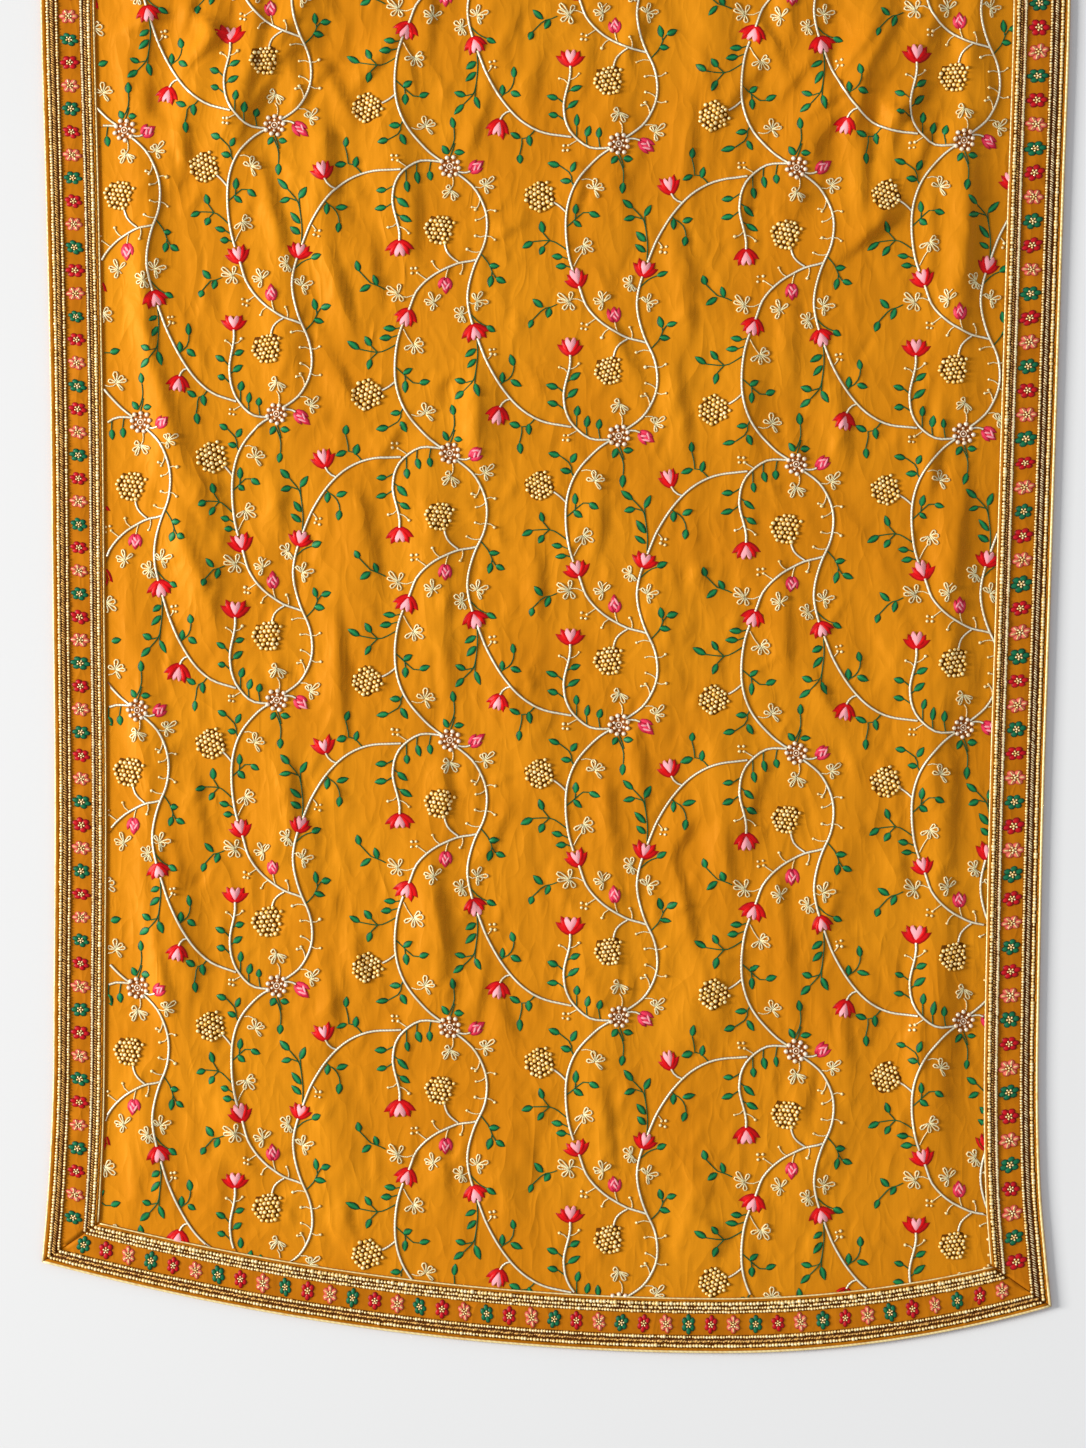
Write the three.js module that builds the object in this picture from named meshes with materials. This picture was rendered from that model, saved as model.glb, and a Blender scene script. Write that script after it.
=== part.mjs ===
// An embroidered dupatta laid flat: one long panel of mustard cloth with its soft folds, and a border sewn
// round it. Each side of the border is a mitred band that lies on the panel, with an outer and an inner
// braid on the band and a binding over the raw edge. Millimetres, +Z up, near hem towards -Y.
import * as THREE from "three";

// Driving dimensions of the whole cloth.
const clothLength = 2300; // near hem to far hem at their furthest
const borderWidth = 50; // edge of the binding to the band's inner edge

// Walls and gaps of the layers, from the surface up.
const panelWall = 1.2;
const bandWall = 1.0;
const seamGap = 0.3;
const mitreGap = 0.22; // each mitred end stops short of the diagonal by this much
const bandUnderside = panelWall + seamGap;
const braidUnderside = bandUnderside + bandWall + seamGap;

// Places across the border, as distances in from the cloth's outer edge.
const bindingWidth = 5;
const outerBraidWidth = 9.7;
const innerBraidStart = 34.5;
const innerBraidWidth = 10.5;
const braidHeight = 1.6;
const bindingHeight = 4;

// The near hem bows towards the viewer from its lowest point, more steeply on the right.
const nearHem = { lowestX: 160, leftRadius: 2290, rightRadius: 1040 };
const farHem = { highestX: 0, radius: 9000 };

// The side edges, pulled in a little by the folds: distance from the near hem, then each edge's X.
const sides = [
  { fromHem: 40, left: -457, right: 456 },
  { fromHem: 90, left: -452, right: 451 },
  { fromHem: 150, left: -447, right: 446 },
  { fromHem: 230, left: -443, right: 444 },
  { fromHem: 320, left: -442, right: 445 },
  { fromHem: 500, left: -441, right: 449 },
  { fromHem: 680, left: -443, right: 455 },
  { fromHem: 860, left: -445, right: 461 },
  { fromHem: 1040, left: -449, right: 467 },
  { fromHem: 1220, left: -454, right: 473 },
  { fromHem: 1500, left: -457, right: 475 },
  { fromHem: 1780, left: -458, right: 473 },
  { fromHem: 2300, left: -460, right: 468 },
];

// The largest folds of the near half: middle of the fold, its length and its width at the foot, its height,
// and how far its far end leans to the right of the cloth's length, in degrees.
const folds = [
  { x: -376, y: -112, length: 330, width: 66, height: 5.0, lean: -6 },
  { x: -330, y: -382, length: 420, width: 84, height: 6.5, lean: -12 },
  { x: -372, y: -560, length: 300, width: 62, height: 4.5, lean: -10 },
  { x: -342, y: -770, length: 340, width: 74, height: 5.5, lean: -8 },
  { x: -372, y: -950, length: 220, width: 60, height: 4.0, lean: -10 },
  { x: -282, y: -32, length: 230, width: 64, height: 5.5, lean: 8 },
  { x: -318, y: 22, length: 200, width: 58, height: 5.0, lean: 16 },
  { x: -210, y: -122, length: 270, width: 70, height: 5.0, lean: -14 },
  { x: -242, y: -230, length: 240, width: 66, height: 4.0, lean: -6 },
  { x: -143, y: -76, length: 270, width: 64, height: 4.5, lean: -3 },
  { x: -183, y: -436, length: 260, width: 70, height: 3.5, lean: -8 },
  { x: -109, y: -418, length: 320, width: 76, height: 4.5, lean: -2 },
  { x: -237, y: -688, length: 260, width: 70, height: 3.5, lean: -10 },
  { x: -111, y: -769, length: 280, width: 74, height: 4.0, lean: -3 },
  { x: -201, y: -940, length: 240, width: 76, height: 3.5, lean: -14 },
  { x: -66, y: -310, length: 180, width: 58, height: 4.5, lean: 4 },
  { x: -30, y: -562, length: 240, width: 68, height: 3.5, lean: -12 },
  { x: 51, y: -76, length: 260, width: 70, height: 3.5, lean: 4 },
  { x: 96, y: -508, length: 260, width: 72, height: 3.0, lean: -3 },
  { x: 42, y: -832, length: 280, width: 78, height: 3.5, lean: -4 },
  { x: -48, y: -994, length: 180, width: 68, height: 3.0, lean: -12 },
  { x: 172, y: -292, length: 210, width: 60, height: 4.5, lean: 0 },
  { x: 154, y: -652, length: 220, width: 62, height: 4.0, lean: -4 },
  { x: 132, y: -832, length: 200, width: 64, height: 4.0, lean: 22 },
  { x: 222, y: -67, length: 210, width: 66, height: 5.5, lean: 14 },
  { x: 303, y: 14, length: 230, width: 78, height: 7.0, lean: 38 },
  { x: 276, y: -121, length: 190, width: 62, height: 5.0, lean: 52 },
  { x: 312, y: -508, length: 240, width: 70, height: 4.0, lean: -6 },
  { x: 366, y: -139, length: 460, width: 72, height: 6.5, lean: 2 },
  { x: 350, y: -517, length: 420, width: 70, height: 6.0, lean: 5 },
  { x: 344, y: -859, length: 380, width: 68, height: 6.0, lean: 3 },
  { x: 249, y: -724, length: 220, width: 70, height: 3.5, lean: 18 },
  { x: 240, y: -967, length: 200, width: 70, height: 3.0, lean: 24 },
  { x: 132, y: -1030, length: 160, width: 66, height: 3.0, lean: -10 },
];
const foldRise = 45; // the folds die away over this much cloth beside the border

// How finely the cloth is divided: stations along each edge, and rows or columns of the panel in each.
const stationsAcross = 15;
const stationsAlong = 16;
const panelSteps = 3;

// A smooth curve through one column of the table of sides.
function sideX(column, fromHem) {
  const last = sides.length - 1;
  let i = 0;
  while (i < last - 1 && sides[i + 1].fromHem < fromHem) i++;
  const slope = (k) => {
    const [before, after] = [sides[Math.max(k - 1, 0)], sides[Math.min(k + 1, last)]];
    return (after[column] - before[column]) / (after.fromHem - before.fromHem);
  };
  const [a, b] = [sides[i], sides[i + 1]];
  const span = b.fromHem - a.fromHem;
  const t = THREE.MathUtils.clamp((fromHem - a.fromHem) / span, 0, 1);
  return (
    (1 + 2 * t) * (1 - t) ** 2 * a[column] +
    t * (1 - t) ** 2 * span * slope(i) +
    t ** 2 * (3 - 2 * t) * b[column] +
    t ** 2 * (t - 1) * span * slope(i + 1)
  );
}

const nearHemY = (x) => {
  const radius = x < nearHem.lowestX ? nearHem.leftRadius : nearHem.rightRadius;
  return (x - nearHem.lowestX) ** 2 / (2 * radius);
};
const farHemY = (x) => clothLength - (x - farHem.highestX) ** 2 / (2 * farHem.radius);

// The four corners of the cloth, where each side edge meets each hem.
function cornerOf(column, hemY) {
  let fromHem = hemY(0);
  for (let pass = 0; pass < 8; pass++) fromHem = hemY(sideX(column, fromHem));
  return new THREE.Vector2(sideX(column, fromHem), fromHem);
}
const corners = {
  nearLeft: cornerOf("left", nearHemY),
  nearRight: cornerOf("right", nearHemY),
  farLeft: cornerOf("left", farHemY),
  farRight: cornerOf("right", farHemY),
};

// Shares of a side at which every piece has a station: the border's two inner edges, and evenly between.
function stationShares(count, length) {
  const end = borderWidth / length;
  const inner = Array.from({ length: count + 1 }, (_, i) => end + ((1 - 2 * end) * i) / count);
  return [0, ...inner, 1];
}
const nominalWidth = corners.farRight.x - corners.farLeft.x;
const acrossShares = stationShares(stationsAcross, nominalWidth);
const alongShares = stationShares(stationsAlong, clothLength);

// An edge as straight runs between its stations, so that pieces side by side keep their gap all along.
function edgeThrough(shares, pointAt) {
  const points = shares.map(pointAt);
  return (share) => {
    let i = 0;
    while (i < shares.length - 2 && shares[i + 1] < share) i++;
    return points[i].clone().lerp(points[i + 1], (share - shares[i]) / (shares[i + 1] - shares[i]));
  };
}
const mix = THREE.MathUtils.lerp;
const hemEdge = (a, b, hemY) =>
  edgeThrough(acrossShares, (u) => new THREE.Vector2(mix(a.x, b.x, u), hemY(mix(a.x, b.x, u))));
const sideEdge = (a, b, column) =>
  edgeThrough(alongShares, (v) => new THREE.Vector2(sideX(column, mix(a.y, b.y, v)), mix(a.y, b.y, v)));
const edges = {
  near: hemEdge(corners.nearLeft, corners.nearRight, nearHemY),
  far: hemEdge(corners.farLeft, corners.farRight, farHemY),
  left: sideEdge(corners.nearLeft, corners.farLeft, "left"),
  right: sideEdge(corners.nearRight, corners.farRight, "right"),
};

// The part's origin lies under the middle of the cloth.
const middle = new THREE.Vector2((sides.at(-1).left + sides.at(-3).right) / 2, clothLength / 2);

// The point of the flat cloth at shares u across and v along: a Coons patch on the four edges.
function clothPoint(u, v) {
  const [near, far, left, right] = [edges.near(u), edges.far(u), edges.left(v), edges.right(v)];
  const { nearLeft, nearRight, farLeft, farRight } = corners;
  const point = (axis) =>
    mix(near[axis], far[axis], v) +
    mix(left[axis], right[axis], u) -
    mix(mix(nearLeft[axis], nearRight[axis], u), mix(farLeft[axis], farRight[axis], u), v) -
    middle[axis];
  return new THREE.Vector2(point("x"), point("y"));
}

const raisedCosine = (share) => (Math.abs(share) < 1 ? 0.5 + 0.5 * Math.cos(Math.PI * share) : 0);

function foldHeight(fold, x, y, turn) {
  const lean = THREE.MathUtils.degToRad(fold.lean);
  const [dx, dy] = [x - turn * fold.x, y - turn * fold.y];
  const across = dx * Math.cos(lean) - dy * Math.sin(lean);
  const along = dx * Math.sin(lean) + dy * Math.cos(lean);
  return fold.height * raisedCosine((2 * across) / fold.width) * raisedCosine((2 * along) / fold.length);
}

// How far the cloth is lifted off the surface. The far half carries the same folds, turned end for end.
function lift(x, y, fromBorder) {
  const rise = THREE.MathUtils.smoothstep(fromBorder, 0, foldRise);
  if (rise === 0) return 0;
  let height = 0;
  for (const fold of folds) height += foldHeight(fold, x, y, 1) + foldHeight(fold, x, y, -1);
  return rise * height;
}

// A closed mesh, turned so that its faces point out.
function closedGeometry(points, triangles) {
  const volume = triangles.reduce((sum, [a, b, c]) => {
    const normal = new THREE.Vector3().crossVectors(points[b], points[c]);
    return sum + points[a].dot(normal);
  }, 0);
  const faces = volume < 0 ? triangles.map(([a, b, c]) => [a, c, b]) : triangles;
  const geometry = new THREE.BufferGeometry().setFromPoints(points);
  geometry.setIndex(faces.flat());
  geometry.computeVertexNormals();
  return geometry;
}

// Lines of the panel's grid: its own edge under the binding, the border's inner edge, and evenly between.
function gridShares(shares, length) {
  const inset = (bindingWidth + seamGap) / length;
  const lines = [inset];
  for (let i = 1; i < shares.length - 2; i++)
    for (let k = 0; k < panelSteps; k++) lines.push(mix(shares[i], shares[i + 1], k / panelSteps));
  lines.push(shares.at(-2), 1 - inset);
  return lines;
}

function panelGeometry() {
  const columns = gridShares(acrossShares, nominalWidth);
  const rows = gridShares(alongShares, clothLength);
  const undersides = [];
  for (const v of rows)
    for (const u of columns) {
      const flat = clothPoint(u, v);
      const fromEdge = Math.min(Math.min(u, 1 - u) * nominalWidth, Math.min(v, 1 - v) * clothLength);
      undersides.push(new THREE.Vector3(flat.x, flat.y, lift(flat.x, flat.y, fromEdge - borderWidth)));
    }
  const tops = undersides.map((p) => p.clone().setZ(p.z + panelWall));
  const layer = undersides.length;
  const width = columns.length;
  const triangles = [];
  const quad = (a, b, c, d) => triangles.push([a, b, c], [a, c, d]);
  for (let j = 0; j < rows.length - 1; j++)
    for (let i = 0; i < width - 1; i++) {
      const [a, b] = [j * width + i, j * width + i + 1];
      const [c, d] = [b + width, a + width];
      quad(a, d, c, b);
      quad(a + layer, b + layer, c + layer, d + layer);
    }
  const rim = [];
  for (let i = 0; i < width - 1; i++) rim.push(i);
  for (let j = 0; j < rows.length - 1; j++) rim.push(j * width + width - 1);
  for (let i = width - 1; i > 0; i--) rim.push((rows.length - 1) * width + i);
  for (let j = rows.length - 1; j > 0; j--) rim.push(j * width);
  rim.forEach((a, k) => {
    const b = rim[(k + 1) % rim.length];
    quad(a, b, b + layer, a + layer);
  });
  return closedGeometry([...undersides, ...tops], triangles);
}

// Each side of the border maps a distance in from its edge and a share along it to shares of the cloth.
const borderSides = {
  left: { shares: alongShares, length: clothLength, at: (d, s) => [d / nominalWidth, s] },
  right: { shares: alongShares, length: clothLength, at: (d, s) => [1 - d / nominalWidth, s] },
  near: { shares: acrossShares, length: nominalWidth, at: (d, s) => [s, d / clothLength] },
  far: { shares: acrossShares, length: nominalWidth, at: (d, s) => [s, 1 - d / clothLength] },
};

// A strip with the given section, a list of [distance in from the edge, height], mitred at both ends.
function stripGeometry(side, section) {
  const { shares, length, at } = borderSides[side];
  const last = shares.length - 1;
  const points = [];
  shares.forEach((share, k) => {
    for (const [inward, height] of section) {
      const mitre = (inward + mitreGap) / length;
      const along = k === 0 ? mitre : k === last ? 1 - mitre : share;
      const flat = clothPoint(...at(inward, along));
      points.push(new THREE.Vector3(flat.x, flat.y, height));
    }
  });
  const size = section.length;
  const triangles = [];
  for (let k = 0; k < last; k++)
    for (let i = 0; i < size; i++) {
      const [a, b] = [k * size + i, k * size + ((i + 1) % size)];
      triangles.push([a, b, b + size], [a, b + size, a + size]);
    }
  const outline = section.map(([inward, height]) => new THREE.Vector2(inward, height));
  for (const [a, b, c] of THREE.ShapeUtils.triangulateShape(outline, [])) {
    triangles.push([a, c, b]);
    triangles.push([last * size + a, last * size + b, last * size + c]);
  }
  return closedGeometry(points, triangles);
}

const bandSection = [
  [bindingWidth + seamGap, bandUnderside],
  [borderWidth, bandUnderside],
  [borderWidth, bandUnderside + bandWall],
  [bindingWidth + seamGap, bandUnderside + bandWall],
];

// A braid is flat below, with two raised cords over a lower woven middle.
function braidSection(start, width) {
  const foot = braidUnderside;
  return [
    [start, foot],
    [start + width, foot],
    [start + width, foot + 0.6 * braidHeight],
    [start + 0.83 * width, foot + braidHeight],
    [start + 0.5 * width, foot + 0.6 * braidHeight],
    [start + 0.17 * width, foot + braidHeight],
    [start, foot + 0.6 * braidHeight],
  ];
}

// The binding is a fold of cloth over the raw edges, rounded outside and upright beside them.
const bindingSection = [
  [0, 0.3 * bindingHeight],
  [0.16 * bindingWidth, 0],
  [bindingWidth, 0],
  [bindingWidth, 0.85 * bindingHeight],
  [0.6 * bindingWidth, bindingHeight],
  [0.16 * bindingWidth, 0.8 * bindingHeight],
];

const outerBraidStart = bindingWidth + seamGap;
const cloth = new THREE.MeshStandardMaterial({ color: 0xd98a18, roughness: 0.55, metalness: 0 });
const bandCloth = new THREE.MeshStandardMaterial({ color: 0xcf7f1a, roughness: 0.6, metalness: 0 });
const goldBraid = new THREE.MeshStandardMaterial({ color: 0xc79a4b, roughness: 0.35, metalness: 0.8 });
const bindingCloth = new THREE.MeshStandardMaterial({ color: 0xc98316, roughness: 0.5, metalness: 0 });

const borderLayers = [
  { name: "border_band", section: bandSection, material: bandCloth },
  { name: "outer_braid", section: braidSection(outerBraidStart, outerBraidWidth), material: goldBraid },
  { name: "inner_braid", section: braidSection(innerBraidStart, innerBraidWidth), material: goldBraid },
  { name: "edge_binding", section: bindingSection, material: bindingCloth },
];

function named(name, geometry, material) {
  const mesh = new THREE.Mesh(geometry, material);
  mesh.name = name;
  return mesh;
}

const dupatta = new THREE.Group();
dupatta.add(named("main_panel", panelGeometry(), cloth));
for (const { name, section, material } of borderLayers)
  for (const side of Object.keys(borderSides))
    dupatta.add(named(`${name}_${side}`, stripGeometry(side, section), material));

export default dupatta;
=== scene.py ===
"""An embroidered silk dupatta laid flat on a pale surface.

Lengths are in millimetres until a mesh is made, and the frame is the CAD model's: X across the cloth, Y along
it from the near hem, Z up from the surface. The near half is the part that the photograph shows.
"""

import logging
import math
from collections.abc import Callable
from dataclasses import dataclass, field
from enum import Enum

import bpy
import numpy as np
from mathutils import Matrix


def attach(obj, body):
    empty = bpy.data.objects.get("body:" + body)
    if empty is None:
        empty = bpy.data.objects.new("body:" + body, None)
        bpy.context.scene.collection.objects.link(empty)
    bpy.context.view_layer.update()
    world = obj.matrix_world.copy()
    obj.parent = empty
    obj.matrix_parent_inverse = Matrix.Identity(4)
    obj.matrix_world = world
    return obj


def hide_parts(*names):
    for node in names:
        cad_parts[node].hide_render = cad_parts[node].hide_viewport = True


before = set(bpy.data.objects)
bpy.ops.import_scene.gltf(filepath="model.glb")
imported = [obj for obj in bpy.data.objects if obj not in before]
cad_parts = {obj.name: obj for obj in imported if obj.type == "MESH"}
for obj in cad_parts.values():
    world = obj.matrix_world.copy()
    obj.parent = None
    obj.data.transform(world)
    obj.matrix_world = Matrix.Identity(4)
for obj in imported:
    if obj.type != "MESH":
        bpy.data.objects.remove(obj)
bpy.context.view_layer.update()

log = logging.getLogger("dupatta")

MM = 0.001
SHADE_TONE = "tone"  # the mesh attribute that runs from 0 at a stitched shape's rim to 1 along its middle; the finishes paint shade at the rim and a highlight on top by it
PANEL_WALL = 1.2
# Heights over the surface: the band, the dark woven ground that the border's beads are sewn on, and their foot.
BAND_FOOT, BAND_TOP = 1.5, 2.5
GROUND_FOOT, BRAID_GROUND = 2.8, 3.3
SEWN_FOOT = BRAID_GROUND - 0.1

Tone = np.ndarray
Points = np.ndarray


# ---- Colours and nodes


def linear(colour: str) -> tuple[float, float, float, float]:
    """Turn an sRGB hex colour into linear red, green, blue and alpha.

    Args:
        colour: The colour as "#rrggbb".

    Returns:
        The linear values, with an alpha of 1.
    """
    parts = [int(colour[i : i + 2], 16) / 255 for i in (1, 3, 5)]
    red, green, blue = (p / 12.92 if p <= 0.04045 else ((p + 0.055) / 1.055) ** 2.4 for p in parts)
    return red, green, blue, 1.0


def add_node(
    tree: bpy.types.NodeTree,
    kind: str,
    settings: dict | None = None,
    links: dict | None = None,
) -> bpy.types.Node:
    """Add a node to a tree, with its settings and the links into it.

    Args:
        tree: The material's or world's node tree.
        kind: The node's Blender type, without the "ShaderNode" that they all start with.
        settings: Values by the name or number of a socket, or by the name of a property.
        links: Sockets that feed this node, by the name or number of the socket they go to.

    Returns:
        The new node.
    """
    node = tree.nodes.new("ShaderNode" + kind)
    for name, value in (settings or {}).items():
        if isinstance(name, str) and name not in node.inputs:
            setattr(node, name, value)
        else:
            node.inputs[name].default_value = value
    for name, source in (links or {}).items():
        tree.links.new(source, node.inputs[name])
    return node


def blend(
    tree: bpy.types.NodeTree,
    value: bpy.types.NodeSocket,
    colours: tuple,
    span: tuple[float, float],
    shares: tuple[float, float] = (0.0, 1.0),
) -> bpy.types.NodeSocket:
    """Blend two colours as a value runs over a span.

    Args:
        tree: The material's node tree.
        value: The socket that decides.
        colours: The two colours, each an sRGB hex colour or a socket.
        span: The values that the blend starts and ends at.
        shares: How much of the second colour there is at those two values.

    Returns:
        The blended colour.
    """
    ranges = {"From Min": span[0], "From Max": span[1], "To Min": shares[0], "To Max": shares[1]}
    links = {0: add_node(tree, "MapRange", ranges, {"Value": value}).outputs[0]}
    settings = {"data_type": "RGBA"}
    for socket, colour in zip((6, 7), colours):
        if isinstance(colour, str):
            settings[socket] = linear(colour)
        else:
            links[socket] = colour
    return add_node(tree, "Mix", settings, links).outputs[2]


def per_metre(size_mm: float) -> float:
    """Give the noise scale whose features are about this many millimetres wide."""
    return 1000.0 / size_mm


def wave_scale(pitch_mm: float) -> float:
    """Give the wave texture's scale whose bands repeat at this pitch in millimetres."""
    return 2 * math.pi / (20 * pitch_mm * MM)


# ---- Finishes


@dataclass(frozen=True)
class Finish:
    """What all finishes share: a name, and nodes that end in one principled shader."""

    name: str

    def material(self) -> bpy.types.Material:
        """Build the finish.

        Returns:
            The material.
        """
        material = bpy.data.materials.new(self.name)
        material.use_nodes = True
        tree = material.node_tree
        tree.nodes.clear()
        place = add_node(tree, "TexCoord").outputs["Object"]
        shader = add_node(tree, "BsdfPrincipled", *self.surface(tree, place))
        add_node(tree, "OutputMaterial", {}, {"Surface": shader.outputs[0]})
        return material

    def surface(self, tree: bpy.types.NodeTree, place: bpy.types.NodeSocket) -> tuple[dict, dict]:
        """Add the nodes that colour the surface and raise it.

        Args:
            tree: The material's node tree.
            place: The place on the piece, in metres.

        Returns:
            The shader's settings and the links into it.
        """
        raise NotImplementedError


@dataclass(frozen=True)
class CrepeSilk(Finish):
    """Crepe silk, piece-dyed and pressed: the eye sees a soft broad sheen over a fine pebbly weave."""

    colour: str
    deeper: str
    roughness: float = 0.5
    sheen: float = 0.06
    patch_mm: float = 160.0
    thread_mm: float = 1.3  # crepe yarn is nearer 0.3 mm, drawn coarser so that it can show
    pebble_mm: float = 1.8
    crinkle_mm: float = 30.0  # sharp slight crinkles, too fine for the mesh to carry
    crinkle_depth: float = 3.2
    finer: tuple[float, float] = (0.45, 0.4)  # the second crinkle's size and depth against the first

    def surface(self, tree: bpy.types.NodeTree, place: bpy.types.NodeSocket) -> tuple[dict, dict]:
        """Dye the cloth in two close tones, weave and pebble it, and crinkle it at two sizes."""
        patches = add_node(tree, "TexNoise", {"Scale": per_metre(self.patch_mm), "Detail": 3.0}, {"Vector": place})
        dye_and_shade = blend(tree, patches.outputs["Fac"], (self.colour, self.deeper), span=(0.38, 0.62), shares=(0.0, 0.6))
        threads = {"Scale": wave_scale(self.thread_mm), "Distortion": 1.2, "Detail": 1.0}
        warp, weft = (
            add_node(tree, "TexWave", {"bands_direction": axis} | threads, {"Vector": place}).outputs["Fac"]
            for axis in ("X", "Y")
        )
        weave = add_node(tree, "Math", {"operation": "MAXIMUM"}, {0: warp, 1: weft}).outputs[0]
        pebbles = add_node(tree, "TexNoise", {"Scale": per_metre(self.pebble_mm), "Detail": 4.0}, {"Vector": place})
        relief = add_node(tree, "Math", {"operation": "MULTIPLY"}, {0: weave, 1: pebbles.outputs["Fac"]})
        drawn = add_node(tree, "Mapping", {"Scale": (1.0, 0.45, 1.0)}, {"Vector": place}).outputs[0]
        folded = {}
        for size, depth in ((1.0, 1.0), self.finer):
            noise = {"Scale": per_metre(size * self.crinkle_mm), "Detail": 1.0, "Roughness": 0.4, "Distortion": 0.6}
            crinkle = add_node(tree, "TexNoise", noise, {"Vector": drawn}).outputs["Fac"]
            off = add_node(tree, "Math", {"operation": "SUBTRACT", 1: 0.5}, {0: crinkle}).outputs[0]
            ridge = add_node(tree, "Math", {"operation": "ABSOLUTE"}, {0: off}).outputs[0]
            raised = {"Strength": 1.0, "Distance": depth * self.crinkle_depth * MM, "invert": True}
            folded = {"Normal": add_node(tree, "Bump", raised, {"Height": ridge} | folded).outputs[0]}
        bump = add_node(tree, "Bump", {"Strength": 0.16, "Distance": 0.0004}, {"Height": relief.outputs[0]} | folded)
        settings = {
            "Roughness": self.roughness,
            "IOR": 1.5,
            "Specular IOR Level": 0.22,
            "Specular Tint": linear("#FFC070"),
            "Sheen Weight": self.sheen,
            "Sheen Roughness": 0.4,
            "Sheen Tint": linear("#FFB24A"),
        }
        return settings, {"Base Color": dye_and_shade, "Normal": bump.outputs[0]}


@dataclass(frozen=True)
class SatinStitch(Finish):
    """Silk floss laid in satin stitch: the floss colour with a painted highlight down each shape, and painted shade
    at the rim where the floss turns down.
    """

    # rim is the floss in painted shade, middle the floss with its painted highlight
    rim: str
    middle: str
    roughness: float = 0.42
    floss_mm: float = 0.9  # a strand is about 0.4 mm, drawn coarser so that it can show
    patch_mm: float = 5.0

    def surface(self, tree: bpy.types.NodeTree, place: bpy.types.NodeSocket) -> tuple[dict, dict]:
        """Run the colour from painted shade at the rim to a painted highlight in the middle by each shape's tone, and
        ridge it with strands.
        """
        tone = add_node(tree, "Attribute", {"attribute_name": SHADE_TONE}).outputs["Fac"]
        strand = {"bands_direction": "DIAGONAL", "Scale": wave_scale(self.floss_mm), "Distortion": 2.0, "Detail": 2.0}
        strands = add_node(tree, "TexWave", strand, {"Vector": place}).outputs["Fac"]
        uneven = add_node(tree, "TexNoise", {"Scale": per_metre(self.patch_mm), "Detail": 2.0}, {"Vector": place})
        shifted = add_node(tree, "Math", {"operation": "MULTIPLY_ADD", 1: 0.7}, {0: uneven.outputs["Fac"], 2: tone})
        # painted shade at the rim and a painted highlight along the middle, shifted unevenly
        dye_and_shade = blend(tree, shifted.outputs[0], (self.rim, self.middle), span=(0.5, 1.25))
        bump = add_node(tree, "Bump", {"Strength": 0.22, "Distance": 0.0003}, {"Height": strands})
        settings = {"Roughness": self.roughness, "IOR": 1.5, "Specular IOR Level": 0.2}
        return settings, {"Base Color": dye_and_shade, "Normal": bump.outputs[0]}


@dataclass(frozen=True)
class MetalThread(Finish):
    """Gilt wire wound on a silk core and couched down: pale gold, with a fine twist that breaks up its shine."""

    colour: str
    worn: str
    # rim is painted brown shade where the cord turns down to the cloth
    rim: str
    roughness: float = 0.4
    metallic: float = 0.22
    twist_mm: float = 1.6
    rim_shade_share: float = 0.3  # where the painted brown shade of the rim begins to give way; higher makes it broader
    tarnish_mm: float = 9.0

    def surface(self, tree: bpy.types.NodeTree, place: bpy.types.NodeSocket) -> tuple[dict, dict]:
        """Wear the gilt in patches, paint brown shade on it towards the rim, and twist it."""
        wound = {"bands_direction": "DIAGONAL", "Scale": wave_scale(self.twist_mm), "Distortion": 1.0}
        twist = add_node(tree, "TexWave", wound, {"Vector": place}).outputs["Fac"]
        tarnish = add_node(tree, "TexNoise", {"Scale": per_metre(self.tarnish_mm), "Detail": 3.0}, {"Vector": place})
        gilt = blend(tree, tarnish.outputs["Fac"], (self.colour, self.worn), span=(0.5, 0.75), shares=(0.0, 0.7))
        tone = add_node(tree, "Attribute", {"attribute_name": SHADE_TONE}).outputs["Fac"]
        # painted shade: brown towards the rim, gilt on top
        shaded = blend(tree, tone, (self.rim, gilt), span=(self.rim_shade_share, self.rim_shade_share + 0.5))
        bump = add_node(tree, "Bump", {"Strength": 0.4, "Distance": 0.0004}, {"Height": twist})
        settings = {"Roughness": self.roughness, "Metallic": self.metallic}
        return settings, {"Base Color": shaded, "Normal": bump.outputs[0]}


@dataclass(frozen=True)
class GiltBead(Finish):
    """Glass bead lined with gilt: a painted highlight at its crown and painted shade at its rim over a warm body,
    each bead a little different.
    """

    # crown is a painted highlight at the bead's top, body the bead's own colour, rim painted shade at its edge
    crown_highlight: str
    body: str
    rim: str
    rim_shade_share: float = 0.34  # where the painted shade at the rim begins to give way; higher makes the shaded rim broader
    metallic: float = 0.1
    roughness: float = 0.26
    lot_mm: float = 4.0

    def surface(self, tree: bpy.types.NodeTree, place: bpy.types.NodeSocket) -> tuple[dict, dict]:
        """Run the colour from painted shade at the rim, through the body, to a painted highlight at the crown, by the
        bead's tone, shifted from lot to lot.
        """
        lots = add_node(tree, "TexNoise", {"Scale": per_metre(self.lot_mm), "Detail": 1.0}, {"Vector": place})
        tone = add_node(tree, "Attribute", {"attribute_name": SHADE_TONE}).outputs["Fac"]
        links = {0: lots.outputs["Fac"], 2: tone}
        up = add_node(tree, "Math", {"operation": "MULTIPLY_ADD", 1: 0.6}, links).outputs[0]
        # painted shade at the rim, then a painted highlight at the crown
        glass = blend(tree, up, (self.rim, self.body), span=(self.rim_shade_share, self.rim_shade_share + 0.42))
        lit = blend(tree, up, (glass, self.crown_highlight), span=(1.0, 1.28))
        settings = {
            "Roughness": self.roughness,
            "Metallic": self.metallic,
            "Coat Weight": 0.2,
            "Coat Roughness": 0.06,
        }
        return settings, {"Base Color": lit}


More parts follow.
